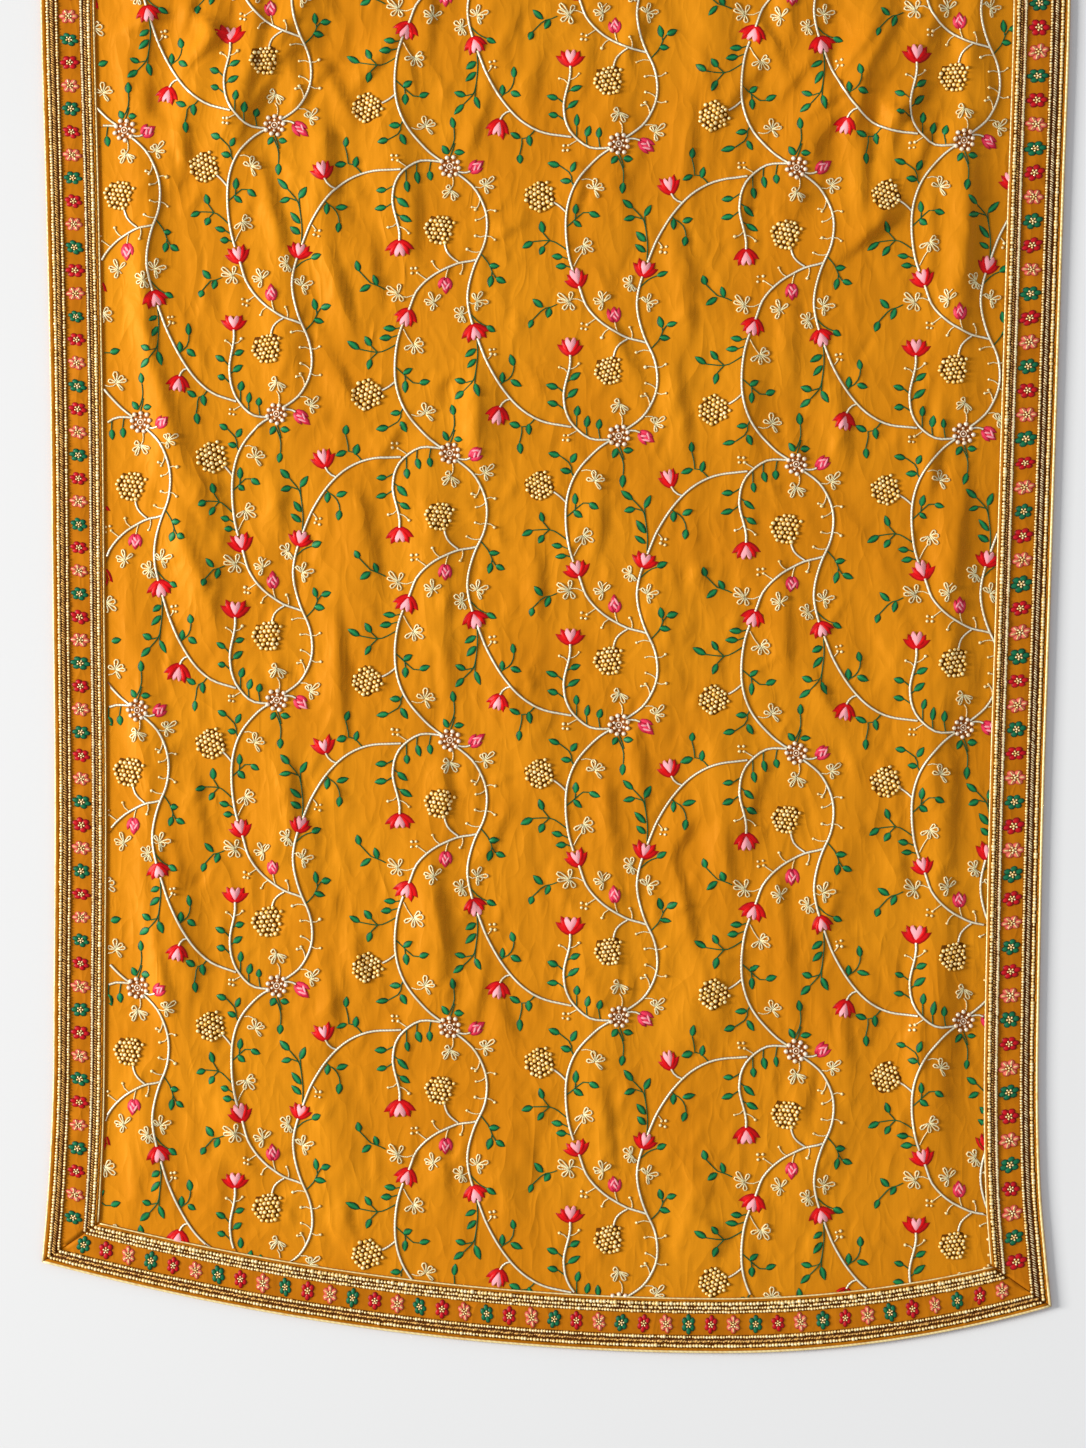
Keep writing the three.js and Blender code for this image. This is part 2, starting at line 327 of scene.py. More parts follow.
@dataclass(frozen=True)
class WovenGround(Finish):
    """Narrow braid woven of dark silk and dull gilt: brown, with short gold floats that catch the light. Its dark
    brown is partly painted shade between the border's beads, and wholly painted shade in the patches under the bead
    clusters and pearls.
    """

    dark: str
    gilt: str
    float_mm: float = 2.2

    def surface(self, tree: bpy.types.NodeTree, place: bpy.types.NodeSocket) -> tuple[dict, dict]:
        """Scatter gilt floats over the dark silk, and raise them."""
        scale = {"Scale": per_metre(self.float_mm)}
        floats = add_node(tree, "TexVoronoi", scale, {"Vector": place}).outputs["Distance"]
        silk = blend(tree, floats, (self.dark, self.gilt), span=(0.0, 0.45), shares=(0.55, 0.0))
        bump = add_node(tree, "Bump", {"Strength": 0.6, "Distance": 0.0005, "invert": True}, {"Height": floats})
        settings = {"Roughness": 0.7, "IOR": 1.5, "Specular IOR Level": 0.08}
        return settings, {"Base Color": silk, "Normal": bump.outputs[0]}


@dataclass(frozen=True)
class PaleSurface(Finish):
    """Matte painted board under the cloth: near white, with nothing on it to draw the eye."""

    # left is the board's colour darkened as painted shade under the window, right its colour away from it
    left: str
    right: str
    grain_mm: float = 6.0

    def surface(self, tree: bpy.types.NodeTree, place: bpy.types.NodeSocket) -> tuple[dict, dict]:
        """Paint the board near white, with painted shade that darkens it towards the left, where the window lights it
        most.
        """
        grain = add_node(tree, "TexNoise", {"Scale": per_metre(self.grain_mm)}, {"Vector": place})
        bump = add_node(tree, "Bump", {"Strength": 0.05, "Distance": 0.0003}, {"Height": grain.outputs["Fac"]})
        across = add_node(tree, "SeparateXYZ", {}, {0: place}).outputs["X"]
        # painted shade: darker at the left, holding down the window's stronger light there
        shaded_paint = blend(tree, across, (self.left, self.right), span=(-0.5, 0.5))
        return {"Roughness": 0.8, "Specular IOR Level": 0.2}, {"Base Color": shaded_paint, "Normal": bump.outputs[0]}


class Cloths:
    """Every finish on the dupatta, built once and shared by its pieces."""

    def __init__(self) -> None:
        """Build the materials."""
        self.panel = CrepeSilk("mustard crepe silk", "#D98A14", "#CB7A0E").material()
        self.band = CrepeSilk("pressed mustard crepe", "#C4750F", "#AE6209", patch_mm=30.0).material()
        self.binding = CrepeSilk("mustard satin binding", "#B66E0E", "#945406", 0.42, 0.06, 14.0).material()
        # Each MetalThread's third colour is painted brown shade at its rims.
        cord = MetalThread("couched ivory gold cord", "#FFF9DE", "#FBE2A8", "#6E3C04", rim_shade_share=0.45)
        thread = MetalThread("fine ivory gold thread", "#FFF6C4", "#FCDC8C", "#CC8A28", 0.4, 0.1, 1.1)
        self.cord, self.gold_thread = cord.material(), thread.material()
        self.line = MetalThread("bright gold cord", "#FFE8A6", "#ECB24E", "#84490C", twist_mm=2.2).material()
        self.rope_gold = MetalThread("twisted gold braid", "#F6BE62", "#BE7A26", "#602E02", twist_mm=1.3).material()
        self.rope_ivory = MetalThread("twisted ivory braid", "#FFF2C2", "#F6CE7C", "#905008", twist_mm=1.3).material()
        # Each GiltBead's first colour is a painted highlight at its crown, and its third painted shade at its rim.
        self.bead = GiltBead("gilt lined glass bead", "#FFF4BE", "#F6B840", "#663002", 0.36).material()
        self.border_bead = GiltBead("pale gold border bead", "#FFF6CE", "#F4C972", "#8A4606").material()
        self.pearl = GiltBead("rose gold pearl", "#FFFAF0", "#F8D6AE", "#944818", 0.3).material()
        # the braid ground's dark brown is partly its own colour and partly painted shade in the gaps between the
        # border's beads
        self.ground = WovenGround("dark woven braid ground", "#4E2602", "#A86410").material()
        # a brown patch of painted shade in the gaps between the cluster beads
        self.shade_backing = WovenGround("brown painted shade under beads", "#663802", "#A0620C", 3.0).material()
        # a copper patch of painted shade in the gaps between the medallion pearls
        self.copper = WovenGround("copper painted shade under pearls", "#9A5216", "#C68234", 2.6).material()
        # Each SatinStitch's first colour is painted shade at the rim, its second the floss colour with a painted
        # highlight.
        self.green = SatinStitch("green silk floss", "#0A3615", "#1C8A4E").material()
        self.stem_green = SatinStitch("dark green stem floss", "#143E1C", "#2A6A38").material()
        self.red = SatinStitch("red silk floss", "#A00002", "#E2050C").material()
        self.pink = SatinStitch("pink silk floss", "#FA8A98", "#FFAEB6").material()
        self.rose = SatinStitch("rose silk floss", "#B8082E", "#EE3A5C").material()
        self.deep_red = SatinStitch("deep red floss", "#78000A", "#C60E1C").material()
        self.coral = SatinStitch("coral floss", "#B02A1C", "#EE7A66").material()
        self.border_green = SatinStitch("bottle green floss", "#06321E", "#127048").material()


# ---- Meshes


@dataclass
class Solid:
    """Points in millimetres, triangles on them, and the tone at each point, by which the finishes paint shade and
    highlight.
    """

    points: Points
    faces: np.ndarray
    tone: Tone

    @staticmethod
    def joined(parts: list["Solid"]) -> "Solid":
        """Put several solids into one.

        Args:
            parts: The solids to join.

        Returns:
            One solid with all their points and faces.
        """
        starts = np.cumsum([0] + [len(p.points) for p in parts[:-1]])
        return Solid(
            np.concatenate([p.points for p in parts]),
            np.concatenate([p.faces + s for p, s in zip(parts, starts)]),
            np.concatenate([p.tone for p in parts]),
        )

    def at(self, x: float, y: float, turn: float = 0.0, scale: float = 1.0, lift: float = 0.0) -> "Solid":
        """Give a copy turned about Z, scaled and moved.

        Args:
            x: Where the solid's origin goes across the cloth.
            y: Where it goes along the cloth.
            turn: Turn about Z, in radians.
            scale: Size against the original.
            lift: Height added to every point.

        Returns:
            The copy.
        """
        c, s = math.cos(turn) * scale, math.sin(turn) * scale
        px, py, pz = self.points.T
        points = np.stack([c * px - s * py + x, s * px + c * py + y, pz * scale + lift], axis=1)
        return Solid(points, self.faces, self.tone)


def copies(shape: Solid, centres: Points, turns: np.ndarray, sizes: np.ndarray, lift: float) -> Solid:
    """Put a copy of a shape at each of many places on the cloth.

    Args:
        shape: The shape, with its origin at its foot.
        centres: An array of places, x and y in each row.
        turns: The turn of each copy about Z, in radians.
        sizes: The length, width and height of each copy against the shape, three in each row.
        lift: How far the copies' feet stand over the cloth.

    Returns:
        All the copies as one solid.
    """
    count = len(centres)
    scaled = shape.points[None] * sizes[:, None, :]
    c, s = np.cos(turns)[:, None], np.sin(turns)[:, None]
    x = c * scaled[..., 0] - s * scaled[..., 1] + centres[:, :1]
    y = s * scaled[..., 0] + c * scaled[..., 1] + centres[:, 1:2]
    points = np.stack([x, y, scaled[..., 2] + lift], axis=2).reshape(-1, 3)
    steps = np.arange(count)[:, None, None] * len(shape.points)
    return Solid(points, (shape.faces[None] + steps).reshape(-1, 3), np.tile(shape.tone, count))


def fan(ring: list[int], reverse: bool = False) -> list[tuple[int, int, int]]:
    """Fill a ring of points with triangles from its first point."""
    faces = [(ring[0], ring[i], ring[i + 1]) for i in range(1, len(ring) - 1)]
    return [(a, c, b) for a, b, c in faces] if reverse else faces


def dome(outline: Points, height: float, inset: float, shoulder: float = 0.8) -> Solid:
    """Raise a low dome on an outline, as padded stitching stands, open where it meets the cloth.

    Args:
        outline: The outline's points in order round the shape, counter-clockwise.
        height: The dome's height at its middle.
        inset: Size of the shoulder ring against the outline.
        shoulder: Height of the shoulder against the dome's.

    Returns:
        The dome, with tone 0 at its rim and 1 in the middle.
    """
    n = len(outline)
    centre = outline.mean(axis=0)
    inner = centre + (outline - centre) * inset
    points = np.concatenate(
        [
            np.column_stack([outline, np.zeros(n)]),
            np.column_stack([inner, np.full(n, height * shoulder)]),
            [[*centre, height]],
        ]
    )
    faces = []
    for i in range(n):
        j = (i + 1) % n
        faces += [(i, j, n + j), (i, n + j, n + i), (n + i, n + j, 2 * n)]
    tone = np.concatenate([np.zeros(n), np.full(n, 0.75), [1.0]])
    return Solid(points, np.array(faces), tone)


def ellipse(length: float, width: float, count: int) -> Points:
    """Give an ellipse's outline from its foot at the origin along +X.

    Args:
        length: Length along X.
        width: Width across Y.
        count: Number of points.

    Returns:
        The outline, counter-clockwise.
    """
    angle = 2 * np.pi * np.arange(count) / count
    return np.column_stack([length * (0.5 + 0.5 * np.cos(angle)), 0.5 * width * np.sin(angle)])


def bead_shape(sides: int) -> Solid:
    """Make the upper half of a bead of radius 1, as it stands out of the cloth.

    Args:
        sides: Number of sides seen from above.

    Returns:
        The bead.
    """
    angle = 2 * np.pi * np.arange(sides) / sides
    return dome(np.column_stack([np.cos(angle), np.sin(angle)]), 1.0, 0.7, 0.75)


def bar_shape() -> Solid:
    """Make a short ridge of thread one unit long and one wide, lying along X about the origin."""
    rim = [(-0.5, 0, 0), (-0.25, -0.5, 0), (0.25, -0.5, 0), (0.5, 0, 0), (0.25, 0.5, 0), (-0.25, 0.5, 0)]
    points = np.array([*rim, (-0.25, 0, 1.0), (0.25, 0, 1.0)], dtype=float)
    faces = [(0, 1, 6), (1, 2, 7), (1, 7, 6), (2, 3, 7), (3, 4, 7), (4, 5, 6), (4, 6, 7), (5, 0, 6)]
    return Solid(points, np.array(faces), np.array([0.1] * 6 + [1.0] * 2))


def smooth_path(corners: Points, step: float) -> Points:
    """Draw a smooth curve through points and space it evenly.

    Args:
        corners: The points that the curve goes through, x and y in each row.
        step: About how far apart the new points lie.

    Returns:
        The new points.
    """
    if len(corners) > 2:
        p = np.concatenate([[2 * corners[0] - corners[1]], corners, [2 * corners[-1] - corners[-2]]])
        t = np.linspace(0, 1, 8, endpoint=False)[:, None]
        spans = []
        for a, b, c, d in zip(p, p[1:], p[2:], p[3:]):
            spans.append(
                0.5 * (2 * b + (c - a) * t + (2 * a - 5 * b + 4 * c - d) * t**2 + (3 * b - a - 3 * c + d) * t**3)
            )
        corners = np.concatenate([*spans, corners[-1:]])
    run = np.concatenate([[0], np.cumsum(np.linalg.norm(np.diff(corners, axis=0), axis=1))])
    even = np.linspace(0, run[-1], max(2, round(run[-1] / step) + 1))
    return np.column_stack([np.interp(even, run, corners[:, 0]), np.interp(even, run, corners[:, 1])])


# The upper outline of a sewn cord and of a thread, across and high, for half a width of 1.
CORD_SECTION = ((-1.0, 0.0), (-0.78, 0.85), (0.0, 1.25), (0.78, 0.85), (1.0, 0.0))
THREAD_SECTION = ((-1.0, 0.0), (0.0, 1.5), (1.0, 0.0))


def laid_cord(path: Points, radius: float, section: tuple, closed: bool = False) -> Solid:
    """Lay a cord along a path, open underneath, where it is sewn down.

    Args:
        path: Points of the path, x and y in each row.
        radius: Half the cord's width.
        section: The section from left to right, for a radius of 1.
        closed: Whether the path is a ring.

    Returns:
        The cord.
    """
    path = np.asarray(path, dtype=float)
    ahead = np.roll(path, -1, axis=0) - np.roll(path, 1, axis=0)
    if not closed:
        ahead[0], ahead[-1] = path[1] - path[0], path[-1] - path[-2]
    ahead /= np.maximum(np.linalg.norm(ahead, axis=1), 1e-9)[:, None]
    left = np.column_stack([-ahead[:, 1], ahead[:, 0]])
    rows, size = len(path), len(section)
    points = np.empty((rows, size, 3))
    for k, (across, height) in enumerate(section):
        points[:, k, :2] = path - left * across * radius
        points[:, k, 2] = height * radius
    steps = rows if closed else rows - 1
    i, k = (q.ravel() for q in np.meshgrid(np.arange(steps), np.arange(size - 1), indexing="ij"))
    n = (i + 1) % rows
    a, b, c, d = i * size + k, i * size + k + 1, n * size + k + 1, n * size + k
    faces = np.concatenate([np.column_stack([a, d, c]), np.column_stack([a, c, b])])
    top = max(height for _, height in section)
    tone = np.tile([height / top for _, height in section], rows)
    return Solid(points.reshape(-1, 3), faces[:, ::-1], tone)


def make_object(name: str, solid: Solid, material: bpy.types.Material) -> bpy.types.Object:
    """Turn a solid into a smooth-shaded Blender object in metres.

    Args:
        name: The object's name.
        solid: The shape, in millimetres.
        material: Its finish.

    Returns:
        The object, linked to the scene.
    """
    mesh = bpy.data.meshes.new(name)
    count = len(solid.faces)
    mesh.vertices.add(len(solid.points))
    mesh.vertices.foreach_set("co", (solid.points * MM).astype(np.float32).ravel())
    mesh.loops.add(count * 3)
    mesh.loops.foreach_set("vertex_index", solid.faces.astype(np.int32).ravel())
    mesh.polygons.add(count)
    mesh.polygons.foreach_set("loop_start", np.arange(0, count * 3, 3, dtype=np.int32))
    mesh.polygons.foreach_set("use_smooth", np.ones(count, dtype=bool))
    tone = mesh.attributes.new(SHADE_TONE, "FLOAT", "POINT")
    tone.data.foreach_set("value", solid.tone.astype(np.float32))
    mesh.materials.append(material)
    mesh.update(calc_edges=True)
    mesh.validate()
    piece = bpy.data.objects.new(name, mesh)
    bpy.context.scene.collection.objects.link(piece)
    return piece


def report_piece(piece: bpy.types.Object, slot: str, *nodes: str) -> bpy.types.Object:
    """Ride a piece on the cloth's one body, hide the CAD nodes that it stands for, and log it.

    Args:
        piece: The finished piece.
        slot: Not used.
        nodes: The CAD nodes that the piece stands for.

    Returns:
        The piece.
    """
    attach(piece, "root")
    if nodes:
        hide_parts(*nodes)
    log.info("%s: %d triangles", piece.name, len(piece.data.polygons))
    return piece


# ---- The cloth's outline and its lie


def read_curve(x: np.ndarray, knots: np.ndarray, values: np.ndarray, slopes: np.ndarray | None = None) -> np.ndarray:
    """Read a smooth curve through a table.

    Args:
        x: Where to read it.
        knots: The table's places, rising.
        values: The curve's value at each knot.
        slopes: Its slope at each knot, or None for that of the values.

    Returns:
        The curve's value at each x.
    """
    slopes = np.gradient(values, knots) if slopes is None else slopes
    i = np.clip(np.searchsorted(knots, x, side="right") - 1, 0, len(knots) - 2)
    span = knots[i + 1] - knots[i]
    t = np.clip((x - knots[i]) / span, 0, 1)
    return (
        (1 + 2 * t) * (1 - t) ** 2 * values[i]
        + t * (1 - t) ** 2 * span * slopes[i]
        + t**2 * (3 - 2 * t) * values[i + 1]
        + t**2 * (t - 1) * span * slopes[i + 1]
    )


@dataclass(frozen=True)
class Crease:
    """A soft ridge in the cloth: its middle, its length and width at the foot, its height and its lean."""

    x: float
    y: float
    length: float
    width: float
    height: float
    lean: float  # degrees that its far end leans to the right
    skew: float = 0.0  # how far its crest lies to the right, as a share of half its width

    def turned(self) -> "Crease":
        """Give the same crease turned end for end about the cloth's middle."""
        return Crease(-self.x, -self.y, self.length, self.width, self.height, self.lean, self.skew)


STEEP = 0.35  # the skew of a crease that falls off sharply on its right
GENTLE = 2.1  # how far such a crease runs out on its left, in halves of its width


# The largest folds of the near half, which the solids carry too.
FOLDS = tuple(
    Crease(*row)
    for row in (
        (-376, -112, 330, 66, 5.0, -6), (-330, -382, 420, 84, 6.5, -12), (-372, -560, 300, 62, 4.5, -10),
        (-342, -770, 340, 74, 5.5, -8), (-372, -950, 220, 60, 4.0, -10), (-282, -32, 230, 64, 5.5, 8),
        (-318, 22, 200, 58, 5.0, 16), (-210, -122, 270, 70, 5.0, -14), (-242, -230, 240, 66, 4.0, -6),
        (-143, -76, 270, 64, 4.5, -3), (-183, -436, 260, 70, 3.5, -8), (-109, -418, 320, 76, 4.5, -2),
        (-237, -688, 260, 70, 3.5, -10), (-111, -769, 280, 74, 4.0, -3), (-201, -940, 240, 76, 3.5, -14),
        (-66, -310, 180, 58, 4.5, 4), (-30, -562, 240, 68, 3.5, -12), (51, -76, 260, 70, 3.5, 4),
        (96, -508, 260, 72, 3.0, -3), (42, -832, 280, 78, 3.5, -4), (-48, -994, 180, 68, 3.0, -12),
        (172, -292, 210, 60, 4.5, 0), (154, -652, 220, 62, 4.0, -4), (132, -832, 200, 64, 4.0, 22),
        (222, -67, 210, 66, 5.5, 14), (303, 14, 230, 78, 7.0, 38), (276, -121, 190, 62, 5.0, 52),
        (312, -508, 240, 70, 4.0, -6), (366, -139, 460, 72, 6.5, 2), (350, -517, 420, 70, 6.0, 5),
        (344, -859, 380, 68, 6.0, 3), (249, -724, 220, 70, 3.5, 18), (240, -967, 200, 70, 3.0, 24),
        (132, -1030, 160, 66, 3.0, -10),
    )
)

# Shorter creases between them, too slight for the solids.
SMALL_CREASES = tuple(
    Crease(*row, STEEP)
    for row in (
        (-399, 38, 115, 26, 2.4, -8), (-305, 41, 95, 28, 2.8, 18), (-271, 26, 120, 24, 3.0, 12),
        (-372, -22, 70, 30, 2.4, 0), (-239, 2, 95, 30, 2.6, -8), (-207, -76, 150, 26, 3.6, -5),
        (-255, -124, 155, 24, 3.6, -14), (-195, -22, 105, 24, 3.0, -30), (-195, -196, 140, 24, 3.6, -16),
        (-168, -172, 105, 30, 2.8, -10), (-373, -208, 175, 32, 3.6, -4), (-351, -304, 175, 28, 3.2, -14),
        (-192, -280, 105, 24, 3.0, -25), (-72, -43, 95, 26, 3.0, 20), (24, 8, 105, 32, 2.6, 8),
        (117, -58, 150, 32, 3.2, 3), (273, -76, 140, 28, 3.6, 3), (246, -40, 115, 28, 3.4, 35),
        (387, -4, 130, 26, 3.2, 3), (369, -142, 200, 24, 4.0, 4), (291, 32, 105, 28, 3.2, 30),
        (216, 2, 85, 26, 2.8, 40), (336, -130, 175, 24, 2.8, 0), (-73, -304, 115, 28, 3.2, 0),
        (114, -190, 155, 28, 3.2, -3), (111, -304, 140, 26, 2.8, -8), (255, -316, 130, 26, 3.0, -10),
        (210, -244, 120, 28, 2.8, 0), (336, -352, 105, 28, 3.0, 8), (-324, -448, 175, 28, 3.2, -20),
        (-387, -472, 155, 24, 3.2, 0), (-252, -394, 105, 32, 2.6, -4), (-174, -412, 130, 28, 2.8, -12),
        (36, -394, 130, 30, 2.8, 5), (360, -412, 155, 32, 3.2, 6), (204, -496, 175, 26, 2.8, -2),
        (378, -532, 85, 26, 2.8, 10), (-198, -508, 140, 26, 2.8, -6), (-102, -520, 105, 30, 2.6, -5),
        (-18, -460, 105, 28, 2.2, 0), (-282, -40, 95, 24, 2.8, 28), (-339, -70, 85, 32, 2.6, 6),
        (-129, -130, 105, 28, 2.6, -2), (-42, -136, 60, 24, 2.4, 60), (18, -100, 95, 28, 2.8, 10),
        (288, -130, 70, 32, 2.8, 50), (168, -112, 95, 28, 2.6, 8), (-318, -373, 70, 32, 2.0, -65),
        (-135, 8, 95, 26, 2.4, -16), (-381, -586, 175, 30, 3.4, -14), (-375, -724, 130, 30, 3.4, -5),
        (-198, -556, 140, 32, 3.0, -4), (-357, -808, 150, 28, 3.0, -12), (-384, -976, 130, 30, 3.0, -10),
        (-108, -760, 150, 30, 3.6, -8), (-102, -646, 120, 26, 3.0, -5), (-204, -832, 130, 26, 2.8, -4),
        (-180, -796, 105, 28, 2.6, -14), (-72, -826, 95, 28, 2.8, 10), (48, -670, 130, 24, 2.8, -6),
        (75, -622, 105, 24, 2.8, -6), (114, -748, 155, 24, 3.4, -14), (150, -700, 130, 30, 3.0, -8),
        (204, -778, 155, 28, 2.8, -6), (351, -670, 175, 32, 3.6, 3), (336, -628, 85, 32, 2.6, 0),
        (324, -880, 105, 30, 3.0, 0), (258, -868, 130, 28, 2.8, -4), (222, -928, 105, 26, 2.6, 10),
        (42, -940, 155, 26, 2.8, -8), (-186, -1042, 85, 24, 2.4, -20), (-306, -1000, 80, 30, 2.2, 0),
        (-102, -988, 105, 26, 2.2, -6), (132, -1036, 80, 30, 2.0, -50), (375, -544, 115, 28, 3.0, 8),
        (-48, -850, 80, 26, 2.4, -20), (-240, -646, 130, 28, 2.6, -6), (-294, -928, 115, 30, 2.4, -4),
        (306, -718, 85, 32, 2.6, -10), (174, -652, 105, 28, 2.6, 20), (111, -682, 70, 32, 2.8, 30),
        (-324, -658, 115, 26, 2.6, -8), (-30, -964, 80, 28, 2.0, -8), (283, -139, 130, 26, 4.0, 52),
        (159, -18, 120, 26, 3.4, 40), (249, -18, 100, 24, 3.6, 55), (318, -24, 90, 24, 3.6, 45),
        (-367, 50, 100, 22, 3.6, 65), (-313, 43, 80, 20, 3.2, -50), (-262, -12, 90, 20, 3.0, 35),
        (330, -60, 110, 22, 3.2, 20), (-150, -330, 90, 20, 2.6, 30), (-60, -690, 100, 22, 2.6, 28),
        (240, -560, 110, 22, 2.8, -30), (60, -250, 110, 22, 2.8, -26),
    )
)


@dataclass
class ClothForm:
    """The flat cloth's outline: its length, hems and side edges, and the middle that it is placed by."""

    length: float = 2300.0
    border: float = 50.0
    hem_lowest_x: float = 160.0
    near_radii: tuple[float, float] = (2290.0, 1040.0)
    far_radius: float = 9000.0
    from_hem: tuple = (40, 90, 150, 230, 320, 500, 680, 860, 1040, 1220, 1500, 1780, 2300)
    left_edge: tuple = (-457, -452, -447, -443, -442, -441, -443, -445, -449, -454, -457, -458, -460)
    right_edge: tuple = (456, 451, 446, 444, 445, 449, 455, 461, 467, 473, 475, 473, 468)
    middle: Points = field(default_factory=lambda: np.array([7.5, 1150.0]))
    corners: dict = field(init=False)

    def __post_init__(self) -> None:
        """Find the four corners, where each side edge meets each hem."""
        self.corners = {
            (column, hem.__name__): self._corner(column, hem)
            for column in (self.left_edge, self.right_edge)
            for hem in (self.near_hem, self.far_hem)
        }

    @property
    def width(self) -> float:
        """The width at the far hem, which the shares across are counted in."""
        return self._far(self.right_edge)[0] - self._far(self.left_edge)[0]

    def near_hem(self, x: np.ndarray) -> np.ndarray:
        """Give the near hem's distance along the cloth at x."""
        radius = np.where(x < self.hem_lowest_x, *self.near_radii)
        return (x - self.hem_lowest_x) ** 2 / (2 * radius)

    def far_hem(self, x: np.ndarray) -> np.ndarray:
        """Give the far hem's distance along the cloth at x."""
        return self.length - np.asarray(x) ** 2 / (2 * self.far_radius)

    def side(self, column: tuple, along: np.ndarray) -> np.ndarray:
        """Draw a smooth curve through one side edge's table.

        Args:
            column: The edge's distances across, left_edge or right_edge.
            along: Distances from the near hem.

        Returns:
            The edge's place across at each distance.
        """
        y, x = np.array(self.from_hem, dtype=float), np.array(column, dtype=float)
        first, last = (x[1] - x[0]) / (y[1] - y[0]), (x[-1] - x[-2]) / (y[-1] - y[-2])
        slopes = np.concatenate([[first], (x[2:] - x[:-2]) / (y[2:] - y[:-2]), [last]])
        return read_curve(along, y, x, slopes)

    def _corner(self, column: tuple, hem: Callable[[np.ndarray], np.ndarray]) -> Points:
        """Find where a side edge meets a hem.

        Args:
            column: The edge's distances across.
            hem: The method that gives the hem's distance along the cloth.

        Returns:
            The corner, x and y.
        """
        along = float(hem(np.array(0.0)))
        for _ in range(8):
            along = float(hem(self.side(column, np.array(along))))
        return np.array([float(self.side(column, np.array(along))), along])

    def _near(self, column: tuple) -> Points:
        """Give the near corner on one side."""
        return self.corners[(column, "near_hem")]

    def _far(self, column: tuple) -> Points:
        """Give the far corner on one side."""
        return self.corners[(column, "far_hem")]

    def point(self, u: np.ndarray, v: np.ndarray) -> Points:
        """Place shares of the cloth on the surface, by a Coons patch on its four edges.

        Args:
            u: Shares across, from the left edge.
            v: Shares along, from the near hem.

        Returns:
            The places, x and y in the last axis.
        """
        u, v = np.broadcast_arrays(np.asarray(u, dtype=float), np.asarray(v, dtype=float))
        nl, nr = self._near(self.left_edge), self._near(self.right_edge)
        fl, fr = self._far(self.left_edge), self._far(self.right_edge)
        near_x, far_x = nl[0] + (nr[0] - nl[0]) * u, fl[0] + (fr[0] - fl[0]) * u
        left_y, right_y = nl[1] + (fl[1] - nl[1]) * v, nr[1] + (fr[1] - nr[1]) * v
        edges_x = (1 - v) * near_x + v * far_x
        edges_x += (1 - u) * self.side(self.left_edge, left_y) + u * self.side(self.right_edge, right_y)
        edges_y = (1 - v) * self.near_hem(near_x) + v * self.far_hem(far_x) + (1 - u) * left_y + u * right_y
        flat = [(1 - v) * ((1 - u) * nl[k] + u * nr[k]) + v * ((1 - u) * fl[k] + u * fr[k]) for k in (0, 1)]
        return np.stack([edges_x - flat[0] - self.middle[0], edges_y - flat[1] - self.middle[1]], axis=-1)

    def inside_border(self, places: Points) -> np.ndarray:
        """Give how far each place lies inside the border's inner edge, in millimetres.

        Args:
            places: Places on the cloth, x and y in the last axis.

        Returns:
            The distances, negative under the border.
        """
        x, y = places[..., 0] + self.middle[0], places[..., 1] + self.middle[1]
        ways = [
            x - self.side(self.left_edge, y),
            self.side(self.right_edge, y) - x,
            y - self.near_hem(x),
            self.far_hem(x) - y,
        ]
        return np.minimum.reduce(ways) - self.border


